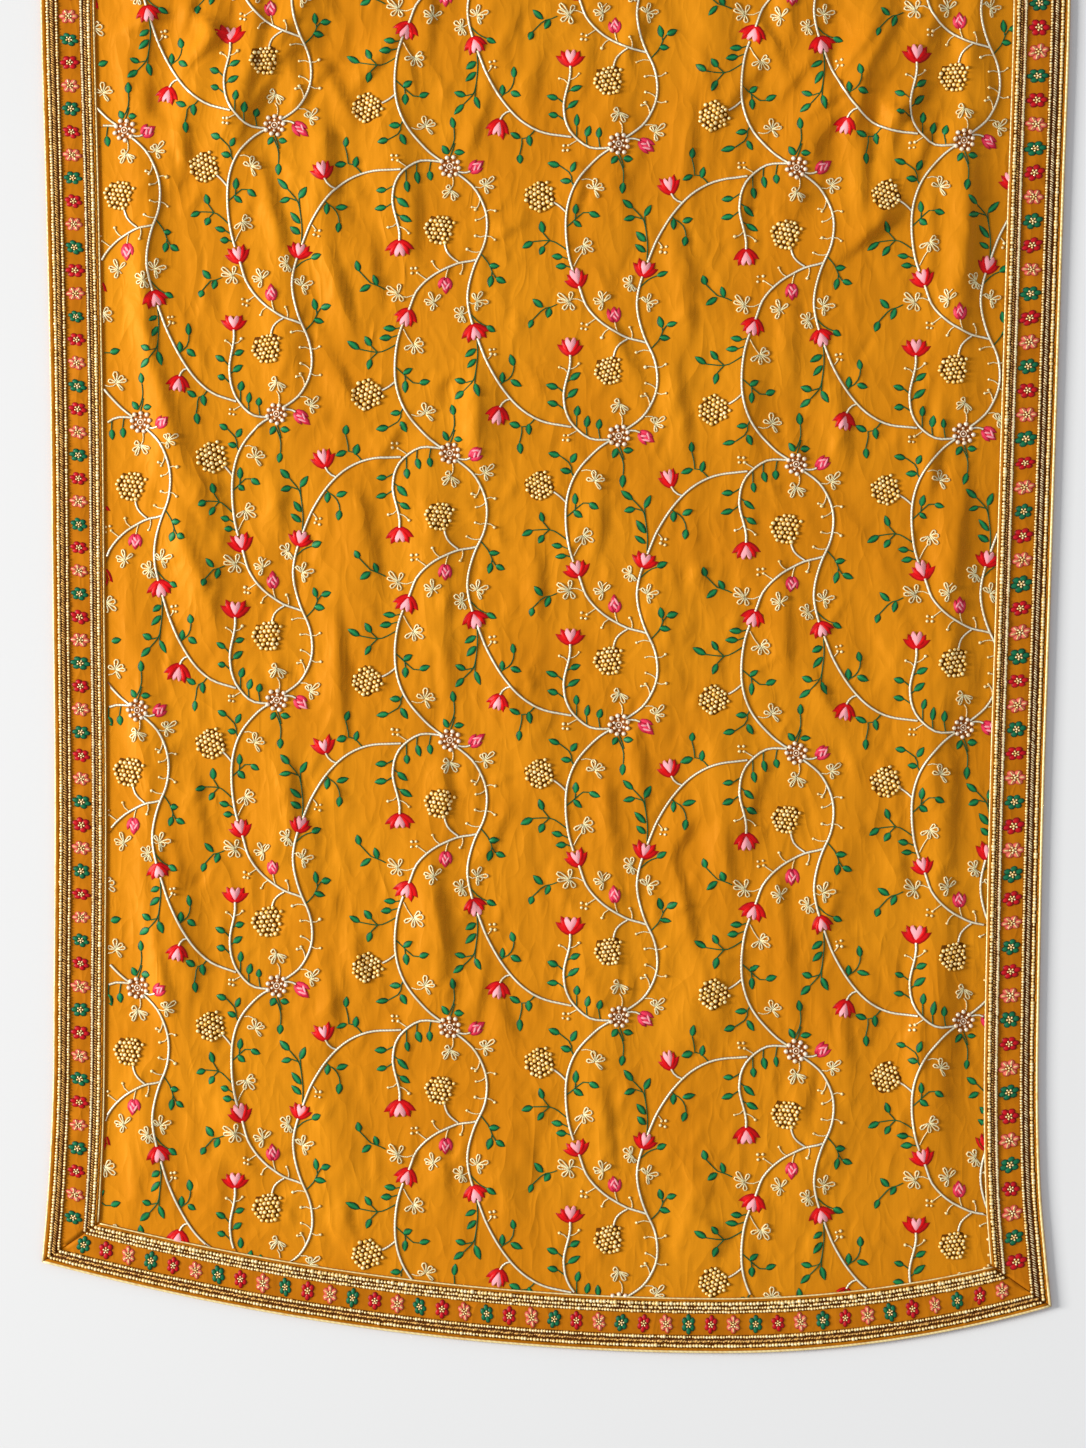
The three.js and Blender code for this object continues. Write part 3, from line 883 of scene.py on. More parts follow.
@dataclass
class ClothLie:
    """How the cloth lies: the height of its underside over the surface, kept on an even grid."""

    form: ClothForm
    spacing: float = 1.8
    half_size: tuple[float, float] = (490.0, 1170.0)  # how far the grid reaches across and along
    rise: float = 45.0  # the folds die away over this much cloth beside the border
    billow: float = 1.6  # the unfolded cloth stands this far off the surface
    lowest: float = 0.15  # the deepest hollows still clear the surface by this much
    crest: tuple[float, float] = (1.3, 1.5)  # how much taller, and how much sharper, a steep crease is drawn
    pucker_count: int = 3600
    pucker_half_size: tuple[float, float] = (420.0, 1100.0)  # how far the puckers are strewn across and along
    pucker_heights: tuple[float, float] = (0.45, 1.6)
    pucker_signs: tuple[float, ...] = (1.0, 1.0, -0.8)  # one in three is a hollow
    pucker_lengths: tuple[float, float] = (20.0, 70.0)
    pucker_widths: tuple[float, float] = (10.0, 20.0)
    pucker_lean: float = 24.0  # degrees, the usual lean either way
    pucker_skews: tuple[float, float] = (-0.1, 0.4)
    seed: int = 11
    grid: np.ndarray = field(init=False)

    def __post_init__(self) -> None:
        """Raise every crease on the grid and let it die away towards the border."""
        self.xs, self.ys = (np.arange(-half, half + self.spacing, self.spacing) for half in self.half_size)
        self.grid = np.full((len(self.ys), len(self.xs)), self.billow)
        for crease in FOLDS + SMALL_CREASES:
            self._raise(crease)
            self._raise(crease.turned())
        for crease in self._puckers():
            self._raise(crease)
        places = np.stack(np.meshgrid(self.xs, self.ys), axis=-1)
        share = np.clip(self.form.inside_border(places) / self.rise, 0, 1)
        self.grid = np.maximum(self.grid, self.lowest) * share**2 * (3 - 2 * share)

    def _puckers(self) -> list[Crease]:
        """Scatter the slight puckers that the stitching draws up, mostly along the cloth.

        Returns:
            The puckers, some of them hollows.
        """
        rng = np.random.default_rng(self.seed)
        puckers = []
        for _ in range(self.pucker_count):
            height = rng.uniform(*self.pucker_heights) * rng.choice(self.pucker_signs)
            x, y = (rng.uniform(-half, half) for half in self.pucker_half_size)
            length, width = rng.uniform(*self.pucker_lengths), rng.uniform(*self.pucker_widths)
            lean, skew = rng.normal(0, self.pucker_lean), rng.uniform(*self.pucker_skews)
            puckers.append(Crease(x, y, length, width, height, lean, skew))
        return puckers

    def _raise(self, crease: Crease) -> None:
        """Add one crease to the grid, within its own length only."""
        reach = crease.length / 2 + crease.width / 2
        i = np.searchsorted(self.xs, [crease.x - reach, crease.x + reach])
        j = np.searchsorted(self.ys, [crease.y - reach, crease.y + reach])
        x, y = np.meshgrid(self.xs[slice(*i)] - crease.x, self.ys[slice(*j)] - crease.y)
        lean = math.radians(crease.lean)
        across = x * math.cos(lean) - y * math.sin(lean)
        along = x * math.sin(lean) + y * math.cos(lean)
        share = 2 * across / crease.width - crease.skew
        gentle = GENTLE if crease.skew == STEEP else 1 + crease.skew
        share = share / np.where(share < 0, gentle, 1 - crease.skew)
        swell = [
            np.where(np.abs(s) < 1, 0.5 + 0.5 * np.cos(np.pi * s), 0.0)
            for s in (share, 2 * along / crease.length)
        ]
        if crease.skew == STEEP:
            swell[0] = self.crest[0] * swell[0] ** self.crest[1]
        self.grid[slice(*j), slice(*i)] += crease.height * swell[0] * swell[1]

    def height(self, places: Points) -> np.ndarray:
        """Read the underside's height at places on the cloth.

        Args:
            places: Places on the cloth, x and y in the last axis.

        Returns:
            The heights over the surface.
        """
        fx = np.clip((places[..., 0] - self.xs[0]) / self.spacing, 0, len(self.xs) - 1.001)
        fy = np.clip((places[..., 1] - self.ys[0]) / self.spacing, 0, len(self.ys) - 1.001)
        i, j = fx.astype(int), fy.astype(int)
        s, t = fx - i, fy - j
        low = self.grid[j, i] * (1 - s) + self.grid[j, i + 1] * s
        high = self.grid[j + 1, i] * (1 - s) + self.grid[j + 1, i + 1] * s
        return low * (1 - t) + high * t

    def drape(self, solid: Solid) -> Solid:
        """Lift a solid from the flat onto the top of the panel.

        Args:
            solid: A solid whose heights are counted from the cloth.

        Returns:
            The same solid, following the cloth.
        """
        points = solid.points.copy()
        points[:, 2] += self.height(points[:, :2]) + PANEL_WALL
        return Solid(points, solid.faces, solid.tone)


# ---- The main panel


@dataclass
class MainPanel:
    """One length of crepe silk, its raw edges under the border."""

    form: ClothForm
    lie: ClothLie
    cloths: Cloths
    columns: int = 237  # odd, as the underside takes every second one
    near_rows: int = 230
    far_rows: int = 101
    near_share: float = 0.54  # of the cloth's length, where the rows lie closer
    edge: float = 5.3  # the panel stops this far inside the binding's outer edge

    def build(self) -> bpy.types.Object:
        """Build the panel as a closed shell on the cloth's lie.

        Returns:
            The panel.
        """
        width, length = self.form.width, self.form.length
        u = np.linspace(self.edge / width, 1 - self.edge / width, self.columns)
        near = np.linspace(self.edge / length, self.near_share, self.near_rows, endpoint=False)
        v = np.concatenate([near, np.linspace(self.near_share, 1 - self.edge / length, self.far_rows)])
        places = self.form.point(u[None, :], v[:, None])
        heights = self.lie.height(places)
        over = np.concatenate([places, heights[..., None] + PANEL_WALL], axis=2)
        # The underside, which nobody sees, takes every second point, and keeps below the ones it leaves out.
        padded = np.pad(heights, 1, mode="edge")
        rows, columns = heights.shape
        lowest = np.min([padded[i : i + rows, k : k + columns] for i in range(3) for k in range(3)], axis=0)
        under = np.concatenate([places, lowest[..., None]], axis=2)[::2, ::2]
        fine = np.arange(rows * columns).reshape(rows, columns)
        coarse = rows * columns + np.arange(under.shape[0] * under.shape[1]).reshape(under.shape[:2])
        top, bottom = self.grid_faces(fine), self.grid_faces(coarse)[:, ::-1]
        above, below = self.rim(fine), self.rim(coarse)
        start, middle, end = above[::2], above[1::2], np.roll(above, -2)[::2]
        after = np.roll(below, -1)
        walls = [(below, after, middle), (after, end, middle), (below, middle, start)]
        faces = np.concatenate([top, bottom, *[np.column_stack(wall) for wall in walls]])
        points = np.concatenate([over.reshape(-1, 3), under.reshape(-1, 3)])
        solid = Solid(points, faces, np.ones(len(points)))
        return make_object("main_panel_cloth", solid, self.cloths.panel)

    @staticmethod
    def grid_faces(cell: np.ndarray) -> np.ndarray:
        """Give the upward triangles of a grid of point numbers."""
        a, b, c, d = (k.ravel() for k in (cell[:-1, :-1], cell[:-1, 1:], cell[1:, 1:], cell[1:, :-1]))
        return np.concatenate([np.column_stack([a, b, c]), np.column_stack([a, c, d])])

    @staticmethod
    def rim(cell: np.ndarray) -> np.ndarray:
        """List a grid's edge points in order round it."""
        return np.concatenate([cell[0, :-1], cell[:-1, -1], cell[-1, :0:-1], cell[:0:-1, 0]])

    def dress(self) -> bpy.types.Object:
        """Returns:
            The panel.
        """
        panel = report_piece(self.build(), "cloth", "main_panel")
        return panel


# ---- The border


class Side(Enum):
    """The four sides of the border, by the node names that they end in."""

    LEFT = "left"
    RIGHT = "right"
    NEAR = "near"
    FAR = "far"


class FlowerColour(Enum):
    """The three colours that the border's flowers repeat in."""

    GREEN = "green"
    RED = "red"
    CORAL = "coral"


class Thing(Enum):
    """What a lane of the border is made of."""

    BEAD = "bead"
    IVORY_BAR = "ivory bar"
    GOLD_BAR = "gold bar"


@dataclass(frozen=True)
class Lane:
    """One row sewn along the border: its distance in from the outer edge, its pitch, and each thing's size."""

    thing: Thing
    inward: float
    pitch: float
    size: tuple[float, float, float]  # along the row, across it, and high
    slant: float = 0.0  # degrees from the row's own direction
    spread: float = 0.1  # how uneven it is


@dataclass(frozen=True)
class BorderPlan:
    """Places across the border, in millimetres in from the cloth's outer edge."""

    lanes: tuple[Lane, ...]
    outer_ground: tuple[float, float]
    inner_ground: tuple[float, float]
    edge_cord: tuple[float, float]  # its distance inward, and half its width
    flowers: float
    piping: float
    gold_line: float
    binding: float = 4.9
    flower_scale: float = 1.0


LEFT_PLAN = BorderPlan(
    lanes=(
        Lane(Thing.BEAD, 6.3, 2.8, (3.6, 3.4, 1.9)),
        Lane(Thing.GOLD_BAR, 10.0, 2.15, (5.0, 1.7, 1.3), 52.0),
        Lane(Thing.BEAD, 14.4, 2.6, (2.9, 2.8, 1.7)),
        Lane(Thing.IVORY_BAR, 36.6, 2.4, (3.4, 2.8, 1.6), 18.0),
        Lane(Thing.GOLD_BAR, 40.0, 2.15, (3.7, 1.5, 1.2), 54.0),
        Lane(Thing.BEAD, 43.2, 2.9, (3.6, 3.6, 1.9)),
    ),
    outer_ground=(4.9, 15.8),
    inner_ground=(35.0, 45.0),
    edge_cord=(1.1, 0.9),
    flowers=25.4,
    piping=46.1,
    gold_line=47.9,
)
RIGHT_PLAN = BorderPlan(
    lanes=(
        Lane(Thing.BEAD, 7.1, 2.9, (3.7, 3.6, 1.9)),
        Lane(Thing.IVORY_BAR, 12.1, 2.2, (4.5, 1.5, 1.4), 54.0),
        Lane(Thing.BEAD, 16.7, 2.6, (3.0, 2.9, 1.7)),
        Lane(Thing.IVORY_BAR, 40.3, 2.4, (3.8, 3.3, 1.7), 18.0),
        Lane(Thing.GOLD_BAR, 43.6, 2.15, (2.9, 1.3, 1.0), 54.0),
        Lane(Thing.BEAD, 46.8, 3.1, (3.9, 3.9, 2.0), 0.0, 0.13),
    ),
    outer_ground=(5.3, 18.0),
    inner_ground=(38.8, 48.4),
    edge_cord=(1.9, 1.35),
    flowers=28.2,
    piping=49.3,
    gold_line=51.0,
    flower_scale=1.15,
)
HEM_PLAN = BorderPlan(
    lanes=(
        Lane(Thing.BEAD, 6.8, 2.9, (3.6, 3.4, 1.9), 0.0, 0.14),
        Lane(Thing.GOLD_BAR, 11.0, 2.3, (3.8, 2.3, 1.4), 24.0, 0.2),
        Lane(Thing.BEAD, 14.8, 2.6, (3.2, 3.1, 1.7), 0.0, 0.14),
        Lane(Thing.BEAD, 37.5, 2.7, (3.3, 3.0, 1.6), 0.0, 0.14),
        Lane(Thing.BEAD, 41.0, 2.6, (2.9, 2.7, 1.5), 0.0, 0.22),
        Lane(Thing.BEAD, 44.7, 3.2, (4.0, 4.0, 2.1), 0.0, 0.16),
    ),
    outer_ground=(4.9, 16.4),
    inner_ground=(36.0, 46.8),
    edge_cord=(1.6, 1.25),
    flowers=26.2,
    piping=47.6,
    gold_line=49.2,
)
# The band's puffed middle, from the inner edge out: inward, height over the band's top, and its share of the ripple.
BAND_PUFF = (
    (45.0, 0.0, 0.0), (36.0, 0.0, 0.1), (31.5, 0.35, 0.5), (26.8, 0.45, 0.55), (22.0, 0.35, 0.5), (17.5, 0.0, 0.1),
)
# The binding's rounded top, from its inner edge out: share of its width, height, and its share of the ripple.
BINDING_TOP = ((1.0, 3.3, 0.05), (0.8, 3.9, 0.2), (0.55, 4.1, 0.25), (0.25, 3.6, 0.2), (0.04, 2.5, 0.05))


@dataclass
class BorderStrip:
    """One side of the border: its band, braids, beads, flowers and binding."""

    side: Side
    form: ClothForm
    cloths: Cloths
    plan: BorderPlan
    flower_pitch: float
    flower_start: float  # how far along the side one of the flowers in the photo lies
    colour_start: int  # that flower's colour
    colour_step: int
    seed: int
    clear: tuple[float, float] = (27.0, 26.0)  # how far the first and last flowers keep from the corners
    mitre_gap: float = 0.2
    bevel: float = 0.8  # the woven grounds' edges turn down over this much
    piping: float = 1.3  # half widths, of the piping and the gold line
    gold_line: float = 0.9
    stray: float = 0.4  # how far a bead strays along its row, against its spread and pitch
    turn_stray: float = 0.1  # radians
    size_limits: tuple[float, float] = (0.7, 1.3)
    length: float = field(init=False)

    def __post_init__(self) -> None:
        """Measure the side's outer edge."""
        self.length = 1.0
        edge = self.at(np.zeros(200), np.linspace(0, 1, 200))
        self.length = float(np.linalg.norm(np.diff(edge, axis=0), axis=1).sum())

    def at(self, inward: np.ndarray, along: np.ndarray) -> Points:
        """Place distances in from the edge and along it on the cloth.

        Args:
            inward: Distances in from the outer edge.
            along: Distances along the side, from its left or near end.

        Returns:
            The places, x and y in the last axis.
        """
        d, s = np.asarray(inward, dtype=float), np.asarray(along, dtype=float) / self.length
        match self.side:
            case Side.LEFT:
                return self.form.point(d / self.form.width, s)
            case Side.RIGHT:
                return self.form.point(1 - d / self.form.width, s)
            case Side.NEAR:
                return self.form.point(s, d / self.form.length)
            case Side.FAR:
                return self.form.point(s, 1 - d / self.form.length)

    def strip(self, section: list[tuple[float, float]], step: float, ripple: np.ndarray | None = None) -> Solid:
        """Make a strip with a section, mitred at both ends.

        Args:
            section: The section's corners in order, each as its distance inward and its height.
            step: About how far apart the strip's stations lie.
            ripple: How much of the side's ripple each corner takes, or None for a flat strip.

        Returns:
            The closed strip.
        """
        rows, size = round(self.length / step) + 1, len(section)
        share = np.linspace(0, 1, rows)[:, None]
        inward = np.array([d for d, _ in section])[None, :]
        start = inward + self.mitre_gap
        along = start + (self.length - 2 * start) * share
        places = self.at(np.broadcast_to(inward, along.shape), along)
        levels = np.array([z for _, z in section])
        heights = np.broadcast_to(levels, along.shape).copy()
        if ripple is not None:
            rng = np.random.default_rng(self.seed)
            waves = rng.uniform(-1, 1, rows)
            heights += ripple[None, :] * np.convolve(waves, [0.25, 0.5, 0.25], mode="same")[:, None]
        points = np.concatenate([places, heights[..., None]], axis=2).reshape(-1, 3)
        i, k = (q.ravel() for q in np.meshgrid(np.arange(rows - 1), np.arange(size), indexing="ij"))
        m = (k + 1) % size
        a, b, c, d = (i * size + k, i * size + m, (i + 1) * size + m, (i + 1) * size + k)
        ends = fan(list(range(size)), reverse=True) + fan([(rows - 1) * size + q for q in range(size)])
        faces = np.concatenate([np.column_stack([a, b, c]), np.column_stack([a, c, d]), np.array(ends)])
        if self.side in (Side.LEFT, Side.FAR):
            faces = faces[:, ::-1]
        # the tone rises with height, so that the gilt finishes paint shade low on the cords
        tone = np.tile((levels - levels.min()) / (levels.max() - levels.min()), rows)
        return Solid(points, faces, tone)

    def tube(self, inward: float, radius: float, foot: float, step: float = 9.0) -> Solid:
        """Lay a cord along the side at one distance inward."""
        section = [(inward + radius * a, foot + radius * h) for a, h in reversed(CORD_SECTION)]
        return self.strip(section, step)

    def row(self, lane: Lane, foot: float) -> Solid:
        """Sew one lane of beads or bars along the side.

        Args:
            lane: What the row is made of, and where it runs.
            foot: The height of each one's foot.

        Returns:
            The row.
        """
        rng = np.random.default_rng(self.seed + round(lane.inward * 10))
        shape = bead_shape(6) if lane.thing is Thing.BEAD else bar_shape()
        count = int((self.length - 2 * lane.inward) / lane.pitch)
        along = lane.inward + lane.pitch * (0.5 + np.arange(count))
        along = along + rng.normal(0, self.stray * lane.spread * lane.pitch, count)
        wobble = lane.inward + rng.normal(0, lane.spread, count)
        centres = self.at(wobble, along)
        ahead = self.at(wobble, along + 1.0) - centres
        turns = np.arctan2(ahead[:, 1], ahead[:, 0]) + math.radians(lane.slant)
        turns = turns + rng.normal(0, self.turn_stray, count)
        size = np.array(lane.size) * ((0.5, 0.5, 1.0) if lane.thing is Thing.BEAD else (1.0, 1.0, 1.0))
        sizes = size[None, :] * rng.normal(1.0, lane.spread, (count, 1)).clip(*self.size_limits)
        return copies(shape, centres, turns, sizes, foot)

    def name(self, part: str) -> str:
        """Name a part of this side."""
        return f"{part}_{self.side.value}"

    def build_band(self) -> bpy.types.Object:
        """Build the cloth band, a little puffed between its braids.

        Returns:
            The band.
        """
        low, high = self.plan.outer_ground[0], self.form.border
        section = [(low, BAND_FOOT), (high, BAND_FOOT), (high, BAND_TOP)]
        section += [(inward, BAND_TOP + height) for inward, height, _ in BAND_PUFF] + [(low, BAND_TOP)]
        ripple = np.array([0, 0, 0, *(share for _, _, share in BAND_PUFF), 0])
        band = make_object(self.name("border_band_cloth"), self.strip(section, 5.0, ripple), self.cloths.band)
        report_piece(band, "band_cloth", self.name("border_band"))
        return band

    def build_braids(self) -> list[bpy.types.Object]:
        """Build the two woven grounds and everything that is sewn along them.

        Returns:
            The grounds and the beads on them.
        """
        plan, cloths, pieces = self.plan, self.cloths, []
        for part, (start, end) in (("outer_braid", plan.outer_ground), ("inner_braid", plan.inner_ground)):
            section = [(start, GROUND_FOOT), (end, GROUND_FOOT), (end, SEWN_FOOT)]
            section += [(end - self.bevel, BRAID_GROUND), (start + self.bevel, BRAID_GROUND), (start, SEWN_FOOT)]
            # the ground's dark brown is partly painted shade in the gaps between the beads sewn on it
            ground = make_object(self.name(part + "_ground"), self.strip(section, 12.0), cloths.ground)
            pieces.append(report_piece(ground, "braid", self.name(part)))
        sewn = {
            Thing.BEAD: ("border_beads", cloths.border_bead, "gold_bead"),
            Thing.IVORY_BAR: ("ivory_rope", cloths.rope_ivory, "gold_cord"),
            Thing.GOLD_BAR: ("gold_rope", cloths.rope_gold, "braid"),
        }
        for thing, (part, material, slot) in sewn.items():
            rows = [self.row(lane, SEWN_FOOT) for lane in plan.lanes if lane.thing is thing]
            if rows:
                pieces.append(report_piece(make_object(self.name(part), Solid.joined(rows), material), slot))
        return pieces

    def build_edges(self) -> list[bpy.types.Object]:
        """Build the binding over the outer edge, and the piping and gold lines.

        Returns:
            The pieces.
        """
        plan, cloths = self.plan, self.cloths
        section = [(0.0, 1.3), (0.7, 0.0), (plan.binding, 0.0)]
        section += [(share * plan.binding, height) for share, height, _ in BINDING_TOP]
        ripple = np.array([0, 0, 0, *(share for _, _, share in BINDING_TOP)])
        binding = make_object(self.name("edge_binding_cloth"), self.strip(section, 6.0, ripple), cloths.binding)
        report_piece(binding, "binding_cloth", self.name("edge_binding"))
        tube = self.tube(plan.piping, self.piping, BAND_TOP - 0.1)
        piping = make_object(self.name("inner_piping"), tube, cloths.binding)
        report_piece(piping, "binding_cloth")
        place, half = plan.edge_cord
        foot = float(np.interp(place, *np.array(section[:2:-1]).T)) - 0.4
        lines = [self.tube(place, half, foot, 7.0)]
        lines.append(self.tube(plan.gold_line, self.gold_line, BAND_TOP - 0.2, 7.0))
        gold = make_object(self.name("gold_lines"), Solid.joined(lines), cloths.line)
        report_piece(gold, "gold_cord")
        return [binding, piping, gold]

    def flower_places(self) -> tuple[Points, np.ndarray, np.ndarray]:
        """Place the band's flowers.

        Returns:
            Their places, the direction across the band at each, and each one's colour number.
        """
        first = self.flower_start
        while first - self.flower_pitch > self.clear[0]:
            first -= self.flower_pitch
        skipped = round((self.flower_start - first) / self.flower_pitch)
        along = np.arange(first, self.length - self.clear[1], self.flower_pitch)
        d = np.full(len(along), self.plan.flowers)
        places = self.at(d, along)
        inward = self.at(d + 1, along) - places
        colours = (self.colour_start + self.colour_step * (np.arange(len(along)) - skipped)) % 3
        return places, np.arctan2(inward[:, 1], inward[:, 0]), colours


@dataclass
class BorderFlowers:
    """The small flowers sewn along the band: six petals round a beaded eye, longer across the band."""

    strips: list[BorderStrip]
    cloths: Cloths
    squash: float = 0.73  # a flower's length along the band against that across
    petal: tuple[float, float] = (7.3, 6.6)  # length and width
    petal_height: float = 1.3
    hub: float = 1.5  # the petals start this far from the flower's middle
    overlap: float = 0.12  # every second petal lies this much higher
    eye_ring: float = 2.3
    eye_bead: tuple[float, float, float] = (1.05, 0.95, 0.9)
    stroke_ring: float = 5.2
    stroke: tuple[float, float, float] = (4.4, 1.2, 0.6)  # length, width and height
    turn_stray: float = 0.12  # radians
    size_spread: float = 0.05
    seed: int = 5

    def petals(self) -> Solid:
        """Make the six petals of one flower, its longer way along X.

        Returns:
            The petals.
        """
        petal = dome(ellipse(*self.petal, 8), self.petal_height, 0.6)
        parts = []
        for k, turn in enumerate(np.arange(6) * math.pi / 3):
            x, y = self.hub * math.cos(turn), self.hub * math.sin(turn)
            part = petal.at(x, y, turn, lift=self.overlap * (k % 2))
            part.points[:, 1] *= self.squash
            parts.append(part)
        return Solid.joined(parts)

    def eye(self) -> Solid:
        """Make the ring of pale beads round the flower's eye, and the bead in it."""
        turns = np.arange(5) * 2 * np.pi / 5
        ring = self.eye_ring * np.column_stack([np.cos(turns), 0.85 * np.sin(turns)])
        dots = copies(bead_shape(5), ring, turns, np.tile(self.eye_bead, (5, 1)), 1.1)
        return Solid.joined([dots, bead_shape(5).at(0, 0, scale=1.2, lift=1.15)])

    def strokes(self) -> Solid:
        """Make the pale strokes over the coral flowers' petals."""
        turns = np.arange(6) * math.pi / 3
        places = self.stroke_ring * np.column_stack([np.cos(turns), self.squash * np.sin(turns)])
        return copies(bar_shape(), places, turns, np.tile(self.stroke, (6, 1)), 1.2)

    def dress(self) -> list[bpy.types.Object]:
        """Sew every flower on, one piece for each colour and one for the pale parts.

        Returns:
            The pieces.
        """
        rng = np.random.default_rng(self.seed)
        gathered = [strip.flower_places() for strip in self.strips]
        places, turns, colours = (np.concatenate([g[k] for g in gathered]) for k in range(3))
        turns = turns + rng.normal(0, self.turn_stray, len(turns))
        sizes = np.column_stack([rng.normal(1, self.size_spread, (len(turns), 2)), np.ones(len(turns))])
        scales = [np.full(len(g[0]), strip.plan.flower_scale) for g, strip in zip(gathered, self.strips)]
        sizes[:, :2] *= np.concatenate(scales)[:, None]
        finishes = {
            FlowerColour.GREEN: (self.cloths.border_green, "green_thread"),
            FlowerColour.RED: (self.cloths.deep_red, "red_thread"),
            FlowerColour.CORAL: (self.cloths.coral, "pink_thread"),
        }
        foot = BAND_TOP + 0.4
        pieces = []
        for number, (colour, (material, slot)) in enumerate(finishes.items()):
            mine = colours == number
            solid = copies(self.petals(), places[mine], turns[mine], sizes[mine], foot)
            pieces.append(report_piece(make_object(f"border_flowers_{colour.value}", solid, material), slot))
        eyes = copies(self.eye(), places, turns, sizes, foot)
        pale = colours == list(FlowerColour).index(FlowerColour.CORAL)
        strokes = copies(self.strokes(), places[pale], turns[pale], sizes[pale], foot)
        solid = Solid.joined([eyes, strokes])
        pieces.append(report_piece(make_object("border_flower_eyes", solid, self.cloths.border_bead), "gold_bead"))
        return pieces


# ---- The trellis: one element of it, in millimetres from its medallion, y running down the cloth

VINES = (
    ((5.9, 5.8), (14.1, 11.4), (22.2, 18.8), (28.6, 29.1), (32.6, 39.5), (34.0, 49.9), (33.0, 61.7), (30.0, 72.1),
     (24.7, 82.7), (21.2, 91.3), (18.5, 100.2), (16.6, 109.0), (15.9, 119.0), (17.6, 130.5), (20.6, 141.0)),
    ((25.2, 153.4), (28.9, 163.1), (34.0, 174.9), (44.4, 192.6), (55.5, 206.7), (65.8, 216.3), (77.7, 223.7),
     (89.5, 227.9), (102.5, 230.0), (111.8, 231.4)),
    ((-8.6, -3.7), (-18.5, -4.1), (-25.9, -3.1), (-33.3, 1.0), (-39.2, 6.2), (-44.4, 12.1), (-48.8, 21.8),
     (-50.3, 32.1), (-50.3, 38.0), (-48.8, 45.4), (-45.9, 55.8), (-44.4, 63.2), (-44.4, 70.8)),
    ((24.7, 82.7), (16.3, 84.9), (11.1, 85.7), (5.2, 87.6), (-3.7, 92.0), (-12.6, 97.2), (-21.5, 104.6),
     (-27.4, 111.3), (-31.1, 117.2), (-34.0, 125.3), (-36.3, 132.0)),
    ((-41.4, 144.6), (-44.4, 153.4), (-46.6, 163.1), (-48.1, 174.9), (-48.5, 185.2), (-48.1, 195.6),
     (-45.9, 207.4), (-41.4, 219.3), (-34.8, 229.6), (-25.9, 239.3), (-17.0, 247.4), (-7.9, 253.3)),
)
CORD_STEMS = (
    ((-4.9, 69.8), (-3.0, 76.5), (1.5, 81.7), (7.4, 85.6)),
    ((-59.6, 206.7), (-54.0, 203.0), (-48.3, 197.8)),
    ((55.5, 207.1), (49.6, 209.4), (45.9, 214.8)),
    ((7.4, 4.4), (13.3, 5.2), (18.5, 3.6)),
)
# Each tulip: its foot and its furthest point.
TULIPS = (
    ((-44.6, 69.8), (-44.0, 85.7)),
    ((20.8, 140.3), (25.0, 155.2)),
    ((-36.0, 130.4), (-40.9, 145.9)),
    ((46.2, 213.8), (42.0, 229.7)),
)
TULIP_WIDTHS = (18.0, 16.6, 16.6, 15.2)
BUDS = (((17.6, 4.3), (31.2, -6.3)), ((-3.7, 99.6), (-4.3, 115.8)))
DIAMONDS = (((-9.6, 57.3), 8), ((-73.2, 211.9), 38))  # middle, and turn in degrees
# Each looped flower: its middle, then the stem that it stands on.
LOOPED_FLOWERS = (
    ((-1.9, 24.7), ((2.5, 9.2), (3.1, 15.8), (0.4, 20.6))),
    ((35.5, 13.6), ((22.9, 17.6), (29.1, 18.1), (32.1, 16.1))),
    ((-17.8, 120.9), ((-11.1, 126.8), (-13.3, 124.6), (-15.5, 122.7))),
    ((-49.6, 118.7), ((-31.1, 117.6), (-38.5, 120.9), (-45.1, 120.1))),
    ((28.9, 119.4), ((16.4, 120.9), (20.7, 122.7), (25.2, 120.9))),
    ((6.7, 133.5), ((17.3, 129.0), (14.1, 131.2), (9.6, 132.7))),
    ((-28.9, 165.7), ((-41.0, 149.7), (-37.0, 157.1), (-32.6, 162.8))),
    ((-18.5, 220.0), ((-34.0, 225.9), (-27.4, 227.0), (-22.2, 223.7))),
)
# Clusters of small beads, each with the gold thread that it hangs on.
DOTS = (
    (((-50.8, -4.6), (-46.6, -4.9), (-50.3, -0.5), (-46.0, -0.4)), ((-45.9, -0.4), (-38.5, 3.7))),
    (((-34.0, 94.5), (-29.8, 94.0), (-34.0, 99.0), (-29.1, 98.0)), ((-28.9, 98.0), (-20.7, 103.4))),
    (((36.5, 163.4), (40.7, 162.6), (41.4, 167.8), (37.7, 167.2)), ((38.5, 167.5), (34.8, 171.9))),
)
# Curls: a small bead, and where its thread leaves the vine.
CURLS = (
    ((-15.5, 86.6), (-9.3, 94.0)), ((9.6, 96.0), (11.4, 86.1)), ((15.5, 74.0), (29.0, 75.3)),
    ((23.2, 61.3), (32.8, 61.0)), ((23.7, 47.2), (33.4, 41.7)), ((20.0, 35.4), (24.6, 36.4)),
    ((23.2, 38.0), (27.2, 26.2)), ((41.4, 38.8), (33.0, 39.2)), ((41.0, 64.7), (33.2, 61.4)),
    ((-54.3, 60.2), (-46.4, 55.0)), ((-36.3, 63.5), (-45.0, 58.4)),
)
